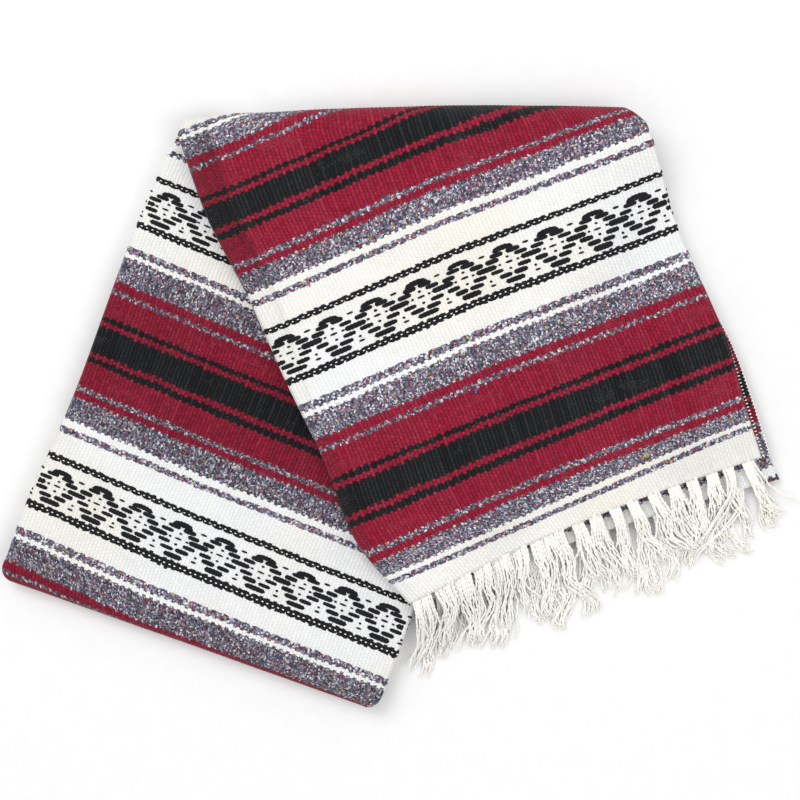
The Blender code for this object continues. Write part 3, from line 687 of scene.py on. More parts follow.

# %% [markdown]
# ## Creases
# The blanket was smoothed by hand, so it has only a few soft troughs. Each is a short line with
# its own depth and width, and no two are alike. A slow wave under them keeps the
# large flat parts from looking machined.

# %% The creases of each leg
UPPER_CREASES = (
    # from x, from y, to x, to y, depth, width
    (-0.168, 0.235, -0.085, 0.060, 0.0019, 0.0034),
    (-0.093, 0.060, -0.040, -0.045, 0.0009, 0.0032),
    (0.250, 0.130, 0.305, -0.020, 0.0010, 0.0050),
    (0.020, 0.120, 0.100, -0.030, 0.0006, 0.0160),
    (0.120, 0.190, 0.190, 0.060, 0.0005, 0.0200),
    (-0.020, -0.020, 0.045, -0.120, 0.0006, 0.0120),
    (0.200, -0.010, 0.240, -0.080, 0.0007, 0.0130),
    (-0.120, 0.245, 0.060, 0.225, 0.0005, 0.0110),
)
LOWER_CREASES = (
    # from x, from y, to x, to y, depth, width
    (-0.300, 0.090, -0.345, -0.080, 0.0007, 0.0060),
    (-0.200, 0.060, -0.255, -0.120, 0.0006, 0.0180),
    (-0.100, -0.060, -0.150, -0.190, 0.0007, 0.0150),
    (-0.020, -0.120, -0.050, -0.240, 0.0008, 0.0090),
    (-0.320, -0.120, -0.080, -0.215, 0.0006, 0.0140),
)
print("creases:", len(UPPER_CREASES), "and", len(LOWER_CREASES))

# %% [markdown]
# A crease fades out at both ends and wanders a little from its straight line. The waves are
# only a fifth of a millimetre high, which is enough to bend the highlights.

# %% Troughs and waves


def relief(points, creases):
    """How far the cloth stands above its plain form at each place."""
    x, y = points[..., 0], points[..., 1]
    # two slow waves, then the troughs
    lift = 0.00022 * np.sin(31 * x + 17 * y + 0.6) * np.sin(23 * y - 19 * x + 1.9)
    lift += 0.00012 * np.sin(83 * x - 47 * y + 2.2) * np.sin(61 * y + 29 * x)
    for x0, y0, x1, y1, depth, width in creases:
        length = math.hypot(x1 - x0, y1 - y0)
        along = ((x - x0) * (x1 - x0) + (y - y0) * (y1 - y0)) / length ** 2
        aside = ((x - x0) * (y1 - y0) - (y - y0) * (x1 - x0)) / length
        aside = aside + 0.004 * np.sin(5 * along + 40 * x0)
        ends = ease(along / 0.3 + 0.3) * ease((1 - along) / 0.3 + 0.3)
        lift -= depth * ends * np.exp(-(aside / width) ** 2)
    return lift


# %% [markdown]
# ## The sheet on the upper leg
# This is the cloth that shows most. It wraps round both sides of the upper leg, runs from the
# hem up to the slanted fold, and turns under there almost to the floor.

# %% Lay the upper sheet
upper_lines = [line(along_leg(UPPER_LEG, share)) for share in np.linspace(0.0, 1.0, 116)]
upper_lines += [fold_line(math.radians(turn)) for turn in np.linspace(11, 160, 15)]
upper = lines_across(upper_lines, [0.0] * len(upper_lines))


def laid_upper(shape, lines):
    """Points of the upper sheet, with its creases and ridges."""
    across, depth, _, tilt, width = shape
    lift = relief(place(lines, across, FACE_OUT - depth), UPPER_CREASES) + RIDGES
    out = FACE_OUT - depth + lift * np.cos(tilt)
    return place(lines, across + lift * np.sin(tilt) / width, out)


upper_points = laid_upper(upper, upper_lines)
upper_height = upper_points[..., 2].clip(LEG)
upper_picks = pick_at(unfolded(upper_lines, upper[2]), upper_height, UPPER_BANDS, UPPER_VIEW)
upper_picks = np.minimum(upper_picks, LAST_AT_HEM)
upper_threads = np.stack((np.broadcast_to(RIB_NUMBERS, upper_picks.shape), upper_picks), axis=-1)

# %% [markdown]
# The left edge is rolled tight. It gets a cream tint and painted shade, deepest in the crease
# where the roll meets the flat and more so up the leg, and its warp shows where it is worn; the
# hem gets the same cream tint and painted shade towards its right end. One value on each point
# of the sheet tells the finish so.

# %% Where the upper sheet is worn and has painted shade, and the sheet itself
from_edge = np.arange(COLUMNS_ACROSS) - LEFT_COLUMNS
up_the_leg = ease((np.linspace(0, 1, len(upper_lines)) - 0.30) / 0.35)[:, None]
reach = 4.0 + 12.0 * up_the_leg
# painted shade, deepest in the crease where the roll meets the flat
valley_shade = 0.62 + 0.38 * np.exp(-((from_edge - reach) / 2.5) ** 2)
upper_wear_and_shade = ease((reach + 4.0 - from_edge) / 4.0) * valley_shade
upper_wear_and_shade = upper_wear_and_shade * (0.45 + 0.55 * up_the_leg)
near_hem = ease((0.12 - np.linspace(0, 1, len(upper_lines))) / 0.05)[:, None]
# a cream tint and painted shade towards the hem's right end
hem_corner_tint_and_shade = 0.6 * near_hem * ease((np.linspace(0, 1, COLUMNS_ACROSS) - 0.60) / 0.25)
upper_wear_and_shade = np.maximum(upper_wear_and_shade, hem_corner_tint_and_shade)
upper_mesh = woven_grid("upper_cloth", upper_points, upper_threads, upper_wear_and_shade)
face_up(upper_mesh)
upper_cloth = as_piece("upper_cloth", upper_mesh, WEAVE, "upper_leg_sheet", slot="upper_cloth")
wall(upper_cloth)

# %% [markdown]
# ## The sheet on the lower leg
# The same way of laying cloth covers the lower leg. Its last lines follow the end fold round,
# on a flattened half circle, with the corners drawn in to a small radius.

# %% Lay the lower sheet
OPENS_AT = 0.030
END_STOPS = np.linspace(OPENS_AT, END_REACH, 8)
END_TURNS = np.radians(np.linspace(12, 165, 13))
lower_lines = [line((*along_leg(LOWER_LEG, share)[:4], 0.0), math.pi, 0.0)
               for share in np.linspace(0.035, 0.93, 104)]
opened = [0.0] * len(lower_lines)
end_turn = [0.0] * len(lower_lines)
for from_end in END_STOPS:
    lower_lines.append(end_line(from_end))
    opened.append((OPENS_AT - from_end) / (OPENS_AT - END_REACH))
    end_turn.append(0.0)
for turn in END_TURNS:
    reached = END_REACH * math.sin(turn)
    flat_extra = END_LENGTH * LEG / 2 * turn - reached
    lower_lines.append(end_line(END_REACH - reached)[:7] + (-flat_extra, 1.0))
    opened.append(1.0)
    end_turn.append(turn)
lower = lines_across(lower_lines, opened)


def laid_lower(shape, lines, turns, creases):
    """Points of the lower sheet, which turns round the end fold."""
    across, depth, _, tilt, width = shape
    turns = np.array(turns)[:, None]

    def put(share, inside):
        """Points at shares across and at depths inside the outer face."""
        points = place(lines, share, HALF - (LEG / 2 - inside) * np.cos(turns))
        points[..., :2] += parts_of(lines)[4] * (FLATNESS * inside * np.sin(turns))[..., None]
        return points

    lift = relief(put(across, depth), creases) + RIDGES
    return put(across + lift * np.sin(tilt) / width, depth - lift * np.cos(tilt))


lower_points = laid_lower(lower, lower_lines, end_turn, LOWER_CREASES)
lower_picks = pick_at(unfolded(lower_lines, lower[2]), LEG, LOWER_BANDS, LOWER_VIEW)
lower_threads = np.stack((np.broadcast_to(RIB_NUMBERS, lower_picks.shape), lower_picks), axis=-1)
lower_mesh = woven_grid("lower_cloth", lower_points, lower_threads)
face_up(lower_mesh)
# The lower sheet takes the copy of the finish that is darkened as painted shade.
lower_cloth = as_piece("lower_cloth", lower_mesh, WEAVE_SHADED, "lower_leg_sheet", slot="lower_cloth")
wall(lower_cloth)

# %% [markdown]
# ## The layers inside
# Between the two sheets lie the other layers. They are one piece, and their edges show at the
# sides of the legs: fat rolls on the left, and four thin selvages over a slim roll on the
# right. Modelling sixteen separate sheets would add little that can be seen, so one section
# with the edges cut into it is carried along both legs.

# %% The section through the layers
COVER = CLOTH + SKIN_GAP
CORE_IN = FACE_IN + COVER
CREASE_GAP = 0.0012  # room left open in the middle of the slanted fold
STEP_BACK, NOTCH = 0.0060, 0.0056  # how deep the gaps between edges go, at the right and the left
SHOULDER = 0.0015  # how much the low layers' top edge is rounded
PEEK = 0.0095  # how far the selvages stand out near the hem
SMALL_OUT = FACE_OUT - 2 * SMALL_ROLL
LOW_TOP = FACE_IN + 3 * LAYER
SIDE_POINTS, FACE_POINTS = 37, 54
SELVAGE_PROFILE = ((0.0012, 0.36), (0.0005, 0.2), (0.0003, 0.0), (0.0005, -0.2), (0.0012, -0.36))
SELVAGE_GROOVE = 0.0024


def half_round(low, high, inset, down=False, count=9):
    """Points of a rolled edge that fills the heights from low to high."""
    angles = np.linspace(-math.pi / 2, math.pi / 2, count) * (-1 if down else 1)
    middle, radius = (low + high) / 2, (high - low) / 2
    return [(inset + radius * (1 - math.cos(a)), middle + radius * math.sin(a)) for a in angles]


def selvages(top, stand_out):
    """Four free edges, each rounded, with a groove under it."""
    pitch = (LEG - 4 * SMALL_ROLL - 2 * SEAM) / 4
    points = []
    for k in range(4):
        middle = top - (k + 0.5) * pitch
        points += [(inset - stand_out, middle + rise * pitch) for inset, rise in SELVAGE_PROFILE]
        points.append((SELVAGE_GROOVE - stand_out, top - (k + 1.0) * pitch))
    return points


def between(first, second, mix):
    """Two sides mixed point by point."""
    return [(a[0] + (b[0] - a[0]) * mix, a[1] + (b[1] - a[1]) * mix) for a, b in zip(first, second)]


def section(share, turn, lower_share):
    """Left side, right side, outer and inner face of the layers on one line."""
    cover = COVER / FLATNESS if turn else COVER
    outer, inner = FACE_OUT - cover, (CREASE_GAP if turn else FACE_IN)
    split = FACE_IN + 2 * BIG_ROLL - SEAM
    stand_out = PEEK * float(ease((0.55 - share) / 0.45))
    left = half_round(inner, split, 0.0, count=18) + [(NOTCH, split + cover / 2)]
    left += half_round(split + cover, outer, cover, count=18)
    right = [(STEP_BACK, SMALL_OUT - SEAM), (0.0020 - stand_out / 2, SMALL_OUT - 2 * SEAM)]
    right += selvages(SMALL_OUT - 3 * SEAM, stand_out)
    right += half_round(inner, FACE_IN + 2 * SMALL_ROLL - SEAM, -stand_out / 2, True, 11)
    if lower_share:
        split = FACE_IN + 2 * BIG_ROLL
        low_left = half_round(CORE_IN, split - COVER, COVER, count=18) + [(NOTCH, split)]
        low_left += half_round(split + SEAM, MEETING, 0.0, count=18)
        low_right = half_round(SMALL_OUT + SEAM, MEETING, 0.0, True, 11)
        low_right += selvages(SMALL_OUT, 0.0)
        low_right += [(STEP_BACK, FACE_IN + 2 * SMALL_ROLL + SEAM), (STEP_BACK, CORE_IN + SEAM)]
        left, right = between(left, low_left, lower_share), between(right, low_right, lower_share)
        outer += (MEETING - outer) * lower_share
        inner += (CORE_IN - inner) * lower_share
    return left, right, outer, inner


# %% [markdown]
# Two places need the section changed. Beyond the top hem only the lower layers go on, pressed
# down to their own height, and in the end fold the whole section turns and is drawn together.

# %% One ring


def pressed(side, top, first):
    """A side pressed under a height, for the layers that reach beyond the top hem."""
    points = []
    for k, (inset, out) in enumerate(side):
        if out > top - SEAM:
            where = abs(k - first) / len(side)
            inset, out = 0.95 * STEP_BACK * where, top - SHOULDER * (1.0 - where) ** 2
        points.append((inset, out))
    return points


def ring(share, width, turn=0.0, lower_share=0.0, low=False, end=None):
    """The whole section as one ring of (share across, out)."""
    left, right, outer, inner = section(share, turn, lower_share)
    if low:
        outer = LOW_TOP
        left, right = pressed(left, outer, 0), pressed(right, outer, len(right) - 1)
    inside = np.linspace(0.014, width - 0.009, FACE_POINTS) / width
    points = [(inset / width, out) for inset, out in left]
    points += [(where, outer) for where in inside]
    points += [(1.0 - inset / width, out) for inset, out in right]
    points += [(where, inner) for where in inside[::-1]]
    points = np.array(points)
    if end is not None:
        half = HALF - CORE_IN - SKIN_GAP
        plain = 1.0 - 0.95 * math.sin(end)
        count = len(left)
        points[:count, 0] *= plain
        side = slice(count + FACE_POINTS, len(points) - FACE_POINTS)
        points[side, 0] = 1.0 - (1.0 - points[side, 0]) * plain
        reach = np.where(points[:, 1] > HALF, MEETING, 2 * HALF - CORE_IN) - HALF
        points[:, 1] = HALF + (points[:, 1] - HALF) / reach * half * math.cos(end)
    return points


# %% [markdown]
# The rings are placed along both legs in the same way as the sheets' lines. The last rings
# close the piece inside the end fold, and the first ones are the low layers beyond the top hem.

# %% Carry the section along both legs


def hem_line(share):
    """A line between the top hem, at 0, and the hem of the layers under it, at 1."""
    edges = along_leg(UPPER_LEG, 0.0) * (1 - share) + UNDER_HEM * share
    return line(edges)


core_lines, core_rings, core_views = [], [], []


def add_ring(one_line, view, **shape):
    """Put a ring on a line, for the upper view, 0, or the lower one, 1."""
    width = math.hypot(one_line[2] - one_line[0], one_line[3] - one_line[1])
    points = ring(width=width, **shape)
    core_lines.append(one_line)
    core_rings.append(np.vstack((points, points[:1])))
    core_views.append(view)


HEM_SHARES = (1.0, 0.8, 0.6, 0.4, 0.2, 0.06)  # from the low layers' hem to the top hem
HEM_RINGS, LEG_RINGS = len(HEM_SHARES), 62
for share in HEM_SHARES:
    add_ring(hem_line(share), 0, share=0.0, low=True)
for share in np.linspace(0.0, 1.0, LEG_RINGS):
    add_ring(line(along_leg(UPPER_LEG, share)), 0, share=share)
for turn in np.radians(np.linspace(14, 172, 12)):
    add_ring(fold_line(turn), 0, share=1.0, turn=turn)
for share in np.concatenate(([0.008, 0.025], np.linspace(0.05, 0.93, 58))):
    mix = float(ease(0.35 + share / 0.038))
    lower_line = line((*along_leg(LOWER_LEG, share)[:4], 0.0), math.pi, float(mix < 1))
    add_ring(lower_line, 1, share=share, turn=math.pi, lower_share=mix)
for from_end, inside in zip((0.030, 0.022, 0.014), (0.001, 0.0022, 0.0035)):
    add_ring(end_line(from_end, inside), 1, share=1.0, turn=math.pi, lower_share=1.0)
REACH = END_REACH - CLOTH - 3 * SKIN_GAP
for turn in np.radians((0, 20, 40, 60, 76)):
    add_ring(end_line(END_REACH - REACH * math.sin(turn), 0.006), 1, share=1.0, turn=math.pi,
             lower_share=1.0, end=turn)
core_rings = np.array(core_rings)
print("rings:", core_rings.shape)

# %% [markdown]
# The pick at each point of the rings is looked up as it is for the sheets. The layers under the
# outer one were never quite square to it, so their stripes are moved along by some picks, and
# the layers beyond the hem start with the stripes that come last in a repeat.

# %% Points and picks of the layers
core_points = place(core_lines, core_rings[..., 0], core_rings[..., 1])
core_flat = unfolded(core_lines, core_rings[..., 0])
core_picks = np.where(np.array(core_views)[:, None] == 0,
                      pick_at(core_flat, core_points[..., 2].clip(LEG), UPPER_BANDS, UPPER_VIEW),
                      pick_at(core_flat, LEG, LOWER_BANDS, LOWER_VIEW))
EDGE_SHIFT = 24  # picks by which the selvages differ from the sheet
right_side = slice(SIDE_POINTS + FACE_POINTS, -FACE_POINTS - 1)
upper_part = slice(0, HEM_RINGS + LEG_RINGS)
core_picks[upper_part] = np.minimum(core_picks[upper_part], LAST_AT_HEM)
core_picks[:HEM_RINGS] = np.linspace(LAST_AT_HEM, PICKS[-3] - 5, HEM_RINGS)[:, None]
at_selvage = np.linspace(REPEAT - 14, REPEAT - 4 - EDGE_SHIFT, HEM_RINGS)
core_picks[:HEM_RINGS, right_side] = at_selvage[:, None]
core_picks[HEM_RINGS:, right_side] -= EDGE_SHIFT
print("picks, least and most:", round(float(core_picks.min())), round(float(core_picks.max())))

# %% [markdown]
# A ring that is opened at one place becomes a row of a grid, so the same flat grid serves here
# too. The two ends of each row are then merged, and the open ends of the piece are closed.

# %% Close the layers into one piece
RIB_PITCH = 0.00332
rib_places = (core_rings[..., 0] * parts_of(core_lines)[2] + core_rings[..., 1]) / RIB_PITCH
core_threads = np.stack((rib_places, core_picks), axis=-1)
core_mesh = woven_grid("inner_layers", core_points, core_threads)
bm = bmesh.new()
bm.from_mesh(core_mesh)
bmesh.ops.remove_doubles(bm, verts=bm.verts, dist=0.00001)
rims = [edge for edge in bm.edges if edge.is_boundary]
closed = bmesh.ops.holes_fill(bm, edges=rims, sides=0)
bmesh.ops.triangulate(bm, faces=closed["faces"])
bmesh.ops.recalc_face_normals(bm, faces=bm.faces)
bm.to_mesh(core_mesh)
bm.free()
# The layers take the copy of the finish that is darkened as painted shade.
as_piece("inner_layers", core_mesh, WEAVE_SHADED, "hidden_layers", slot="inner_cloth")

# %% [markdown]
# ## The second layer's hem
# Beyond the top hem a narrow strip of the next layer shows between the bundles of fringe. It is
# a sheet too, laid on the layers' top between the hem and the place where they end.

# %% Lay the strip
strip_lines = [hem_line(share) for share in np.linspace(0.02, 0.97, 9)]
strip_across = np.repeat(np.linspace(0.02, 0.98, 3 * 104 + 1)[None, :], len(strip_lines), axis=0)
strip_ridges = np.where(np.arange(strip_across.shape[1]) % 3 == 0, RIB_HEIGHT, 0.0)
strip_points = place(strip_lines, strip_across, LOW_TOP + SKIN_GAP + CLOTH + strip_ridges)
GREY_CHAIN, LAST_WHITE = PICKS[-3], PICKS[-2]
down_the_strip = np.linspace(0, 1, len(strip_lines))
strip_picks = np.interp(down_the_strip, (0, 0.33, 1), (GREY_CHAIN, LAST_WHITE, REPEAT - 4))
strip_picks = strip_picks[:, None] + 0.5 * np.sin(strip_across * 21)
strip_ribs = np.broadcast_to(np.arange(strip_across.shape[1]) / 3.0 + 0.5, strip_picks.shape)
strip_mesh = woven_grid("under_hem", strip_points, np.stack((strip_ribs, strip_picks), axis=-1))
face_up(strip_mesh)
under_hem = as_piece("under_hem", strip_mesh, WEAVE, "under_hem_sheet", slot="under_cloth")
wall(under_hem)

# %% [markdown]
# ## The pattern's floats
# In the diamond band the black yarn leaves the ground weave and floats over several ribs at a
# time. A float is a small plump dash, raised above the cloth, and the light catches it, so each
# is a little solid of its own instead of a painted mark. The band is charted: a row for
# each height, with the dashes' middles and lengths in ribs. It repeats every twelve ribs.

# %% The chart of floats
BAND_REPEAT = 12
RIB_IN_VIEW = 44.6 / BAND_REPEAT
DIAMONDS = (
    # height in the view, middle, length (both in the view's units)
    (15.8, 0.0, 20.0), (18.2, 22.3, 5.5),
    (20.5, -7.8, 12.5), (20.5, 7.8, 12.5),
    (25.7, -14.2, 12.0), (25.7, 14.2, 12.0), (25.7, 0.6, 3.0),
    (31.4, 22.3, 19.0), (31.4, 0.0, 6.5), (31.4, -9.0, 2.5), (31.4, 9.0, 2.5),
    (37.5, -13.6, 12.0), (37.5, 13.6, 12.0), (37.5, 0.0, 3.0),
    (43.4, -7.8, 12.5), (43.4, 7.8, 12.5), (43.4, 22.3, 2.6),
    (49.6, 0.0, 19.0), (48.2, 22.3, 5.0),
)
CHAINS = (
    # height in the view, shift along in ribs, sag at the ends in picks
    (2.2, 0.0, 0.55), (5.1, 1.5, -0.55), (56.5, 0.0, 0.55), (59.4, 1.5, -0.55),
)
GREY_CHAINS = ((84.9, 0.0, 0.5), (87.9, 1.5, -0.5), (282.1, 0.0, 0.5), (285.1, 1.5, -0.5))
EYE_HEIGHTS = (3.65, 57.95)
FIRST_RIB, LAST_RIB = -2, FLAT_RIBS + 5
DASH_HALVES = ((17, 1.6), (10, 1.3), (0, 0.62))
print("dashes in a diamond:", len(DIAMONDS))

# %% [markdown]
# The charts become lists of floats. Each float is its middle rib, its middle pick, half its
# length in ribs, half its height in picks, and how far its ends sag. Hand weaving is never
# exact, so every one is moved and scaled a little by chance.

# %% From the chart to single floats


def diamond_floats(rng, band_start, first=3.0):
    """The dashes of one diamond band."""
    floats = []
    for height, middle, length in DIAMONDS:
        for k in range(-1, 11):
            rib = first + BAND_REPEAT * k + middle / RIB_IN_VIEW + rng.uniform(-0.15, 0.15)
            pick = float(chart_to_pick(band_start + height)) + rng.uniform(-0.25, 0.25)
            half_length = length / RIB_IN_VIEW / 2 * rng.uniform(1.06, 1.20)
            half_height = next(half for least, half in DASH_HALVES if length > least)
            sag = 1.0 if length > 17 and height < 20 else 0.0
            floats.append((rib, pick, half_length, half_height * rng.uniform(0.85, 1.10), sag))
    return floats


def chain_floats(rng, band_start, rows):
    """The links of a band's chains; the two rows of a chain are half a link apart."""
    floats = []
    for height, shift, sag in rows:
        for k in range(40):
            rib = 3 * k + shift + rng.uniform(-0.12, 0.12)
            pick = float(chart_to_pick(band_start + height)) + rng.uniform(-0.15, 0.15)
            floats.append((rib, pick, 1.42 * rng.uniform(0.94, 1.06), 1.32, sag))
    return floats


def chain_eyes(rng, band_start):
    """The small white eyes inside the links of both black chains of a band."""
    eyes = []
    for height in EYE_HEIGHTS:
        for k in range(80):
            rib = 1.5 * k + 0.75 + rng.uniform(-0.1, 0.1)
            pick = float(chart_to_pick(band_start + height)) + rng.uniform(-0.15, 0.15)
            eyes.append((rib, pick, 0.31, 0.40, 0.0))
    return eyes


# %% [markdown]
# A float is placed by its rib and its pick. The sheet's own grid tells where that is on the
# folded cloth, so the dashes follow every roll and crease.

# %% Find a place on a sheet


def on_sheet(points, picks, rib, pick):
    """Places on a sheet's grid by rib and pick, and how far off the sheet's ends they are."""
    column = np.clip((rib - 0.5) * 3 + LEFT_COLUMNS, 0, points.shape[1] - 1.001)
    near = column.astype(int)
    share = column - near
    result = np.empty((len(rib), 3))
    missed = np.zeros(len(rib), bool)
    for k in range(len(rib)):
        line_picks = picks[:, near[k]] * (1 - share[k]) + picks[:, near[k] + 1] * share[k]
        order = slice(None, None, -1) if line_picks[0] > line_picks[-1] else slice(None)
        rows = np.arange(len(line_picks))[order]
        row = np.interp(pick[k], line_picks[order], rows)
        missed[k] = not line_picks.min() < pick[k] < line_picks.max()
        r = min(int(row), len(points) - 2)
        t = row - r
        a = points[r, near[k]] * (1 - share[k]) + points[r, near[k] + 1] * share[k]
        b = points[r + 1, near[k]] * (1 - share[k]) + points[r + 1, near[k] + 1] * share[k]
        result[k] = a * (1 - t) + b * t
    return result, missed


def normals_of(points):
    """The direction that the cloth faces at each point of a sheet's grid."""
    flats = np.cross(np.gradient(points, axis=1), np.gradient(points, axis=0))
    flats *= np.sign(flats[len(flats) // 2, points.shape[1] // 2, 2])
    return flats / np.linalg.norm(flats, axis=2, keepdims=True)


# %% [markdown]
# All the floats start as one small round solid of a few dozen faces. Its ends are made blunter,
# as a yarn's are where it dives back into the cloth, and many copies go into one mesh.

# %% Lay floats on a sheet
FLOAT_HEIGHT, BLUNTNESS = 0.00085, 0.68
CLEARANCE = 0.0001  # how far a float's middle lies above the cloth


def bead(name, turned=False):
    """A small round solid, with its poles at the sides where it is turned."""
    bm = bmesh.new()
    bmesh.ops.create_uvsphere(bm, u_segments=8, v_segments=5, radius=1.0)
    if turned:
        bmesh.ops.rotate(bm, cent=(0, 0, 0), verts=bm.verts, matrix=Matrix.Rotation(math.pi / 2, 3, "Y"))
    small = bpy.data.meshes.new(name + "_one")
    bm.to_mesh(small)
    bm.free()
    return small, np.array([vert.co[:] for vert in small.vertices])


def copies(name, small, placed):
    """One mesh of copies of a small solid, each moved onto its own points."""
    bm = bmesh.new()
    for _ in placed:
        bm.from_mesh(small)
    mesh = bpy.data.meshes.new(name)
    bm.to_mesh(mesh)
    bm.free()
    bpy.data.meshes.remove(small)
    mesh.vertices.foreach_set("co", np.concatenate(placed).astype(np.float32).ravel())
    mesh.update()
    face_out(mesh)
    return mesh


def lay_floats(name, sheets, finish, height=FLOAT_HEIGHT):
    """One piece of all the floats that lie on the sheets given."""
    small, unit = bead(name, turned=True)
    waist = np.sqrt(np.maximum(1 - unit[:, 0] ** 2, 1e-9))
    unit[:, 1:] *= (waist ** -BLUNTNESS)[:, None]
    placed = []
    for points, picks, floats in sheets:
        normals = normals_of(points)
        for rib, pick, half_length, half_height, sag in floats:
            if not FIRST_RIB < rib < LAST_RIB:
                continue
            ribs = rib + unit[:, 0] * half_length
            rows = pick + unit[:, 1] * half_height + sag * unit[:, 0] ** 2
            base, missed = on_sheet(points, picks, ribs, rows)
            if missed.any():
                continue
            normal, _ = on_sheet(normals, picks, ribs, rows)
            placed.append(base + normal * (unit[:, 2:3] * height + CLEARANCE))
    as_piece(name, copies(name, small, placed), finish)


# %% [markdown]
# The dashes and the links are soft spun yarn, black all through. The upper leg shows one band
# of diamonds and the lower leg two.

# %% Black diamonds and chains


def yarn(name, colour, darker, scale=1400.0):
    """Plain spun yarn: fine fibres, and a tone that drifts from place to place."""
    wires = Wires(name)
    where = wires.tree.nodes.new("ShaderNodeTexCoord").outputs["Object"]
    drift = wires.noise(where, 90.0, 2.0)
    fine = wires.noise(where, scale, 3.0)
    share = wires.math("MULTIPLY_ADD", fine, 0.7, wires.math("MULTIPLY", drift, 0.5))
    shade = wires.ramp(share, [(0.35, darker), (0.75, colour)], "LINEAR")
    return finished(wires, shade, wires.bump(fine, 0.0004, 0.6))


rng = random.Random(11)
black_yarn = yarn("black_yarn", (0.012, 0.013, 0.015), (0.003, 0.003, 0.004))
upper_floats = diamond_floats(rng, 0.0) + chain_floats(rng, 0.0, CHAINS)
lower_floats = []
for start in (0.0, REPEAT_HEIGHT):
    lower_floats += diamond_floats(rng, start, 5.0) + chain_floats(rng, start, CHAINS)
lay_floats("black_floats", (
    (upper_points, upper_picks, upper_floats), (lower_points, lower_picks, lower_floats)), black_yarn)

# %% [markdown]
# Each black link has a small light eye, where the white ground shows through it. The eyes are
# beads of white cotton that stand a little higher than the links, so that they are seen.

# %% White eyes in the chains
cotton = yarn("white_cotton", (0.93, 0.915, 0.88), (0.88, 0.855, 0.81))
EYE_HEIGHT = 0.0013
upper_eyes = chain_eyes(rng, 0.0)
lower_eyes = chain_eyes(rng, 0.0) + chain_eyes(rng, REPEAT_HEIGHT)
lay_floats("white_eyes", (
    (upper_points, upper_picks, upper_eyes), (lower_points, lower_picks, lower_eyes)), cotton, EYE_HEIGHT)

# %% [markdown]
# The narrow grey stripes are chains too, in the flecked yarn. The same cells colour them, but
# measured in metres, because these small solids have no map of threads.

# %% Grey chains
FLECKS_IN_A_METRE = 620.0
grey = Wires("flecked_yarn")
spot = grey.tree.nodes.new("ShaderNodeTexCoord").outputs["Object"]
stretched = grey.tree.nodes.new("ShaderNodeMapping")
stretched.inputs["Scale"].default_value = (FLECKS_IN_A_METRE,) * 3
grey.put(stretched.inputs["Vector"], spot)
grey_bump = grey.bump(grey.noise(spot, 1400.0), 0.0004, 0.6)
flecked_yarn = finished(grey, flecked(grey, stretched.outputs[0]), grey_bump)
grey_upper, grey_lower = [], []
for start in (-REPEAT_HEIGHT, 0.0):
    grey_upper += chain_floats(rng, start, GREY_CHAINS)
for start in (0.0, REPEAT_HEIGHT):
    grey_lower += chain_floats(rng, start, GREY_CHAINS)
lay_floats("grey_chains", (
    (upper_points, upper_picks, grey_upper), (lower_points, lower_picks, grey_lower)), flecked_yarn)

# %% [markdown]
# Here and there a knot of bright waste sticks out of the grey yarn or has caught on the white.
# These are accidents of one blanket, so a few are put where the picture has them.

# %% Bright tufts
TUFT_HEIGHT = 0.0011
TUFTS = (
    # name, colour, darker colour, then middles in the plan
    ("yellow_tufts", (0.62, 0.47, 0.06), (0.42, 0.30, 0.04),
     ((0.221, -0.045), (0.222, -0.043), (0.058, 0.063))),
    ("red_tufts", (0.48, 0.05, 0.06), (0.30, 0.03, 0.04),
     ((-0.084, 0.110), (-0.090, 0.141), (0.023, 0.176))),
    ("blue_tufts", (0.07, 0.16, 0.45), (0.05, 0.10, 0.30), ((-0.012, 0.188), (0.066, 0.015))),
)


def tuft_floats(rng, places):
    """Small floats, heaped three to a place, on the upper sheet."""
    floats = []
    for x, y in places:
        away = np.hypot(upper_points[..., 0] - x, upper_points[..., 1] - y)
        row, column = np.unravel_index(np.argmin(away), away.shape)
        for _ in range(3):
            rib = RIB_NUMBERS[column] + rng.uniform(-0.4, 0.4)
            pick = upper_picks[row, column] + rng.uniform(-0.9, 0.9)
            sizes = rng.uniform(0.25, 0.5), rng.uniform(0.3, 0.6), rng.uniform(-0.9, 0.9)
            floats.append((rib, pick, *sizes))
    return floats


for name, colour, darker, places in TUFTS:
    heaped = ((upper_points, upper_picks, tuft_floats(rng, places)),)
    lay_floats(name, heaped, yarn(name, colour, darker), TUFT_HEIGHT)

# %% [markdown]
# ## Loops at the selvages
# On the right side of each leg four selvages lie one above another, and the thick warp at the
# edge shows there as a row of white loops. Each loop is one small round solid, set upright on
# its selvage. A pattern in the finish would do from above, but not from the side.

# %% Set the loops
LOOP_PITCH = 0.0033
LOOK_AHEAD = 0.002  # how far on a second point is taken, to see which way the edge runs
LOWEST_LOOP = 0.0002
LOOP_SIZE = np.array((0.00062, 0.00055, 0.00105))  # outwards, along the edge, upwards


def selvage(k, rows):
    """The middle of one of the four selvages, along a run of rings."""
    return core_points[rows, SIDE_POINTS + FACE_POINTS + 4 + 6 * k]


def selvage_top(step, rows):
    """A line on the top selvage, one step in from its edge for each number lower."""
    return core_points[rows, SIDE_POINTS + FACE_POINTS + step] + np.array((0.0, 0.0, 0.0003))


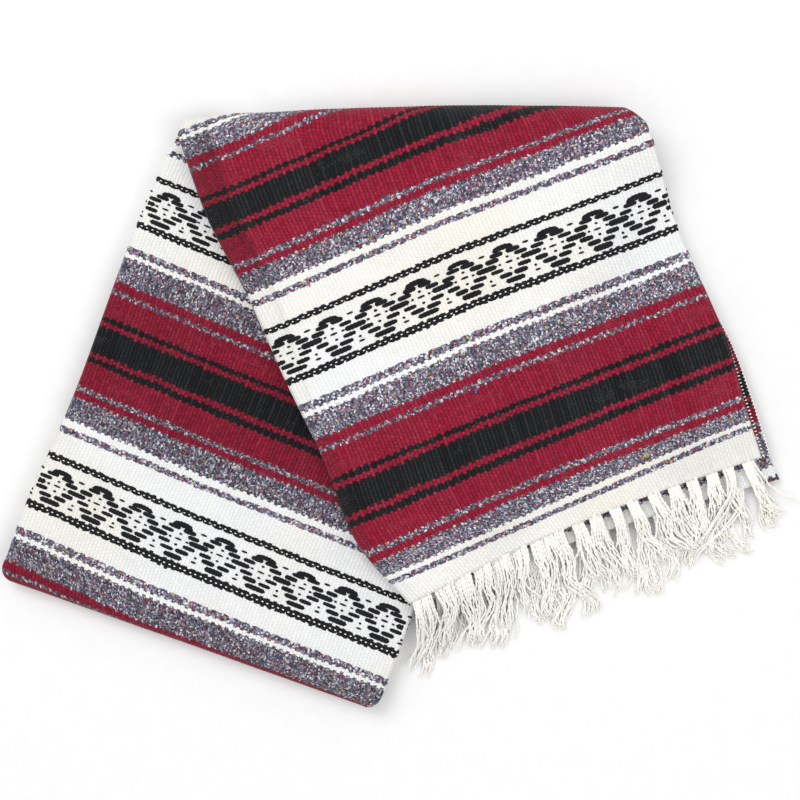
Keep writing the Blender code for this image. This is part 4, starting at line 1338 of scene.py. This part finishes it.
def loops(name, edges, finish, seed):
    """Small loops along each edge; an edge comes with how much bigger its loops are."""
    rng = random.Random(seed)
    small, unit = bead(name)
    placed = []
    for edge, bigger in edges:
        steps = np.linalg.norm(np.diff(edge, axis=0), axis=1)
        gone = np.concatenate(([0.0], np.cumsum(steps)))
        for where in np.arange(rng.uniform(0.001, 0.004), gone[-1], LOOP_PITCH):
            middle, further = (np.array([np.interp(at, gone, edge[:, axis]) for axis in range(3)])
                               for at in (where, where + LOOK_AHEAD))
            ahead = further - middle
            if np.linalg.norm(ahead[:2]) < 1e-6:
                continue
            along = ahead[:2] / np.linalg.norm(ahead[:2])
            outwards = np.array((along[1], -along[0])) * (1 if along[1] - along[0] * 0.3 > 0 else -1)
            tilt = rng.uniform(-0.35, 0.35)
            size = LOOP_SIZE * rng.uniform(0.85, 1.12) * (bigger, 1.0, 1.0)
            shape = unit * size
            shape[:, 1] += shape[:, 2] * math.sin(tilt)
            spot = np.empty_like(shape)
            spot[:, :2] = middle[:2] + shape[:, :1] * outwards + shape[:, 1:2] * along
            spot[:, 2] = np.maximum(middle[2] + shape[:, 2], LOWEST_LOOP)
            placed.append(spot)
    as_piece(name, copies(name, small, placed), finish)


# %% [markdown]
# The upper leg shows its four selvages all along, the lower leg only where it comes out from
# under the upper one. Near the hem the top selvage is seen from above, so it has two more rows.

# %% The rows of loops
upper_rows = slice(HEM_RINGS, HEM_RINGS + LEG_RINGS)
lower_rows = slice(-32, -8)
peeking_rows = slice(0, HEM_RINGS + 36)
edges = [(selvage(k, rows), 1.0) for rows in (upper_rows, lower_rows) for k in range(4)]
edges += [(selvage_top(step, peeking_rows), 2.2) for step in (1, 3)]
loops("selvage_loops", edges, cotton, 5)

# %% [markdown]
# ## The fringe
# At each hem the warp is tied off in bundles. A bundle starts thick and smooth, then opens into
# several yarns that still have the waves of the weave in them. The path of a yarn leaves the
# hem squarely, swings downwards and falls to the floor.

# %% Paths of the yarns
BUNDLES, FRINGE_LENGTH = 18, 0.083
PLY, TWIST = 0.00062, 0.0088  # radius of a ply, and the length of one turn
SAMPLE = 0.0018  # step from point to point of a path
CROSSING_BUNDLE, CROSSING_DRIFT, CROSSING_LIFT = 16, -0.060, 0.0022  # the loose lock
TOWARDS_DOWN, RIGHT_LEAN = 0.62, 0.38  # how much the yarns swing at the left and at the right
ON_FLOOR = 0.0012


def hem_place(edge, out, across):
    """The point at a share across a hem, so far out from where the legs meet."""
    points = place([edge], np.array([[across]]), np.array([[out]]))
    return points[0, 0]


def yarn_path(root, length, outward, across, aside, fall_to, lock, rng):
    """Points of one yarn: gathered at the root, then wavy, falling to what is under it.
    The lock holds the bends that all yarns of its bundle share."""
    count = int(length / SAMPLE)
    end_height, fall_length = fall_to
    down, lean = np.array((0.0, -1.0)), np.array((RIGHT_LEAN * across ** 3, 0.0))
    sideways = np.array((-outward[1], outward[0]))
    # the waves that this yarn has of its own
    phase, waves, drift = rng.uniform(0, 6.28), rng.uniform(0.009, 0.017), rng.uniform(-1.0, 1.0)
    crimp_size = rng.uniform(0.0002, 0.0008)
    own, own_phase = rng.uniform(0.024, 0.045), rng.uniform(0, 6.28)
    rise = rng.uniform(-0.0006, 0.0016) + lock["lift"]
    # step by step along the yarn
    points, plan = [], np.array(root[:2])
    for k in range(count + 1):
        share, gone = k / count, k * length / count
        # the way it runs, from square to the hem to its swing
        swing = TOWARDS_DOWN * float(ease(share * 1.6)) * (1.0 - across ** 3)
        direction = outward * (1 - swing) + down * swing + lean * share
        direction = direction / np.hypot(*direction)
        plan = plan + direction * (length / count if k else 0.0)
        # how far it is pushed aside by its waves and by its bundle
        opens = float(ease((gone - 0.004) / 0.026))
        crimp = crimp_size * opens * math.sin(gone / waves * 2 * math.pi + phase)
        bend = lock["bend"] * share * math.sin(gone / lock["wave"] * 2 * math.pi + lock["phase"])
        bend += 0.0018 * share * math.sin(gone / own * 2 * math.pi + own_phase)
        closer = 1.0 + lock["spread"] * opens * (1 - lock["gather"]) - 0.55 * share * lock["gather"]
        off = aside * closer + (lock["drift"] + lock["stray"]) * share ** 2 + drift * 0.0045 * share ** 3
        here = plan + sideways * (off + crimp + bend)
        # how far it has fallen
        fallen = float(ease(gone / fall_length))
        height = root[2] + (end_height - root[2]) * fallen + rise * opens
        height += 0.5 * crimp_size * opens * math.cos(gone / waves * 2 * math.pi + phase)
        points.append((here[0], here[1], max(height, ON_FLOOR)))
    return np.array(points)


# %% [markdown]
# Each yarn is two plies twisted together, with frayed tips. A curve with a round section makes a
# ply well: it needs only a path and a thickness, and it becomes a mesh once it is placed.

# %% Twist the plies


def twisted(path, phase, side):
    """One ply of a yarn, wound round its path; the plies part at the tip."""
    steps = np.gradient(path, axis=0)
    steps /= np.linalg.norm(steps, axis=1, keepdims=True)
    across = np.cross(steps, (0.0, 0.0, 1.0))
    across /= np.linalg.norm(across, axis=1, keepdims=True)
    above = np.cross(across, steps)
    share = np.linspace(0, 1, len(path))
    turn = phase + side * math.pi + share * len(path) * SAMPLE / TWIST * 2 * math.pi
    apart = PLY * 0.85 * (1 + 2.0 * ease((share - 0.90) / 0.10))
    ply = path + (across * np.cos(turn)[:, None] + above * np.sin(turn)[:, None]) * apart[:, None]
    ply[:, 2] = np.maximum(ply[:, 2], 0.0007)
    radius = 1.0 - 0.25 * share - 0.45 * ease((share - 0.93) / 0.07)
    return ply, radius


# %% [markdown]
# The lengths differ from bundle to bundle and a few yarns stray across their neighbours. All the
# chances come from seeded numbers, so the fringe is the same on every run.

# %% Make the two fringes


def add_ply(curve, ply, radius):
    """One more spline of a curve, with a thickness at each point."""
    spline = curve.splines.new("POLY")
    spline.points.add(len(ply) - 1)
    flat = np.concatenate((ply, np.ones((len(ply), 1))), axis=1)
    spline.points.foreach_set("co", flat.astype(np.float32).ravel())
    spline.points.foreach_set("radius", radius.astype(np.float32))


def fringe(name, node, edge, out, fall_to, shorter, yarns, seed, finish):
    """A fringe along a hem: its height out there, where its ends fall to, how much shorter it
    is at the right, and how many yarns a bundle has."""
    rng = random.Random(seed)
    curve = bpy.data.curves.new(name + "_path", "CURVE")
    curve.dimensions = "3D"
    curve.bevel_depth = PLY
    curve.bevel_resolution = 0
    curve.use_fill_caps = True
    left, right = np.array(edge[:2]), np.array(edge[2:4])
    along = (right - left) / np.hypot(*(right - left))
    outward = np.array((along[1], -along[0]))
    for bundle in range(BUNDLES):
        across = (bundle + 0.5) / BUNDLES + rng.uniform(-0.006, 0.006)
        root = hem_place(edge, out, 0.01 + 0.98 * across)
        uneven = 0.07 * math.sin(1.7 * bundle + seed) + rng.uniform(-0.04, 0.08)
        length = FRINGE_LENGTH * (0.88 + uneven)
        length *= 1.0 - 0.14 * (1.0 - across) ** 2 - shorter * across ** 4
        root_width = 0.0106 + 0.0075 * float(ease((0.50 - across) / 0.12))
        lock = dict(bend=rng.uniform(0.001, 0.006), wave=rng.uniform(0.035, 0.07),
                    phase=rng.uniform(0, 6.28), drift=rng.uniform(-0.016, 0.016),
                    gather=rng.uniform(0.0 if across > 0.5 else 0.35, 1.0), spread=0.0095 / root_width)
        for k in range(yarns):
            aside = (k - (yarns - 1) / 2) * root_width / yarns + rng.uniform(-0.0004, 0.0004)
            start = root + np.array((*(-outward * 0.002), rng.uniform(-0.0008, 0.0009)))
            lock["stray"] = rng.choice((-0.030, -0.018, 0.020)) if rng.random() < 0.07 else 0.0
            crosses = bundle == CROSSING_BUNDLE and k >= yarns - 5
            if crosses:
                lock["stray"] = CROSSING_DRIFT
            lock["lift"] = CROSSING_LIFT if crosses else 0.0
            own_length = length * rng.uniform(0.86, 1.0)
            path = yarn_path(start, own_length, outward, across, aside, fall_to, lock, rng)
            phase = rng.uniform(0, 6.28)
            for side in (0, 1):
                add_ply(curve, *twisted(path, phase, side))
    holder = bpy.data.objects.new(name + "_path", curve)
    bpy.context.scene.collection.objects.link(holder)
    mesh = bpy.data.meshes.new_from_object(holder)
    mesh.name = name
    bpy.data.objects.remove(holder)
    bpy.data.curves.remove(curve)
    as_piece(name, mesh, finish, node, slot=node + "_cotton")


fringe("top_fringe_yarns", "top_fringe", hem_line(0.0), FACE_OUT - CLOTH / 2,
       (0.0038, 0.062), 0.15, 13, 3, cotton)
fringe("under_fringe_yarns", "under_fringe", hem_line(1.0), LOW_TOP + SKIN_GAP + CLOTH / 2,
       (0.0016, 0.034), 0.40, 12, 8, cotton)

# %% [markdown]

# %% [markdown]
# ## The floor
# The blanket lies on plain pale paper, which a large flat square stands for.

# %% Floor
bm = bmesh.new()
bmesh.ops.create_grid(bm, x_segments=2, y_segments=2, size=3.0)
floor_mesh = bpy.data.meshes.new("floor")
bm.to_mesh(floor_mesh)
bm.free()
paper = Wires("pale_paper")
grain = paper.noise(paper.tree.nodes.new("ShaderNodeTexCoord").outputs["Object"], 60.0, 3.0)
tint = paper.ramp(grain, [(0.3, (0.745, 0.745, 0.745)), (0.7, (0.765, 0.765, 0.765))], "LINEAR")
paper.put(paper.shader.inputs["Base Color"], tint)
paper.shader.inputs["Roughness"].default_value = 0.8
floor_mesh.materials.append(paper.material)
floor = bpy.data.objects.new("floor", floor_mesh)
bpy.context.scene.collection.objects.link(floor)
print("floor, metres wide:", round(floor.dimensions.x, 1))

# %% [markdown]
# ## Light and camera
# Large soft lamps and a bright surrounding keep the shadows weak, with a little more light from
# the upper left. The camera looks straight down from 1.4 m, as in the picture that the piece
# follows.

# %% Light


def lamp(name, place_at, aim, size, power):
    """A round soft lamp that points at a place."""
    data = bpy.data.lights.new(name, "AREA")
    data.shape = "DISK"
    data.size = size
    data.energy = power
    light = bpy.data.objects.new(name, data)
    light.location = place_at
    light.rotation_euler = (Vector(aim) - Vector(place_at)).to_track_quat("-Z", "Y").to_euler()
    bpy.context.scene.collection.objects.link(light)


lamp("key", (-0.9, 1.1, 1.9), (0.0, 0.0, 0.0), 1.6, 27.0)
lamp("fill", (1.2, -0.8, 2.0), (0.0, 0.0, 0.0), 1.6, 14.0)
bpy.context.scene.view_settings.view_transform = "Standard"
world = bpy.data.worlds.new("studio")
world.use_nodes = True
world.node_tree.nodes["Background"].inputs["Color"].default_value = (1.0, 1.0, 1.0, 1.0)
world.node_tree.nodes["Background"].inputs["Strength"].default_value = 0.84
bpy.context.scene.world = world
print("lamps:", sorted(light.name for light in bpy.data.lights))

# %% Camera
camera_data = bpy.data.cameras.new("straight_down")
camera_data.sensor_width = 36.0
camera_data.lens = VIEW_SCALE / (2 * VIEW_MIDDLE) * camera_data.sensor_width
camera = bpy.data.objects.new("straight_down", camera_data)
camera.location = (-CENTRE[0], -CENTRE[1], VIEW_HEIGHT)
bpy.context.scene.collection.objects.link(camera)
bpy.context.scene.camera = camera
print("lens, millimetres:", round(camera_data.lens, 1))
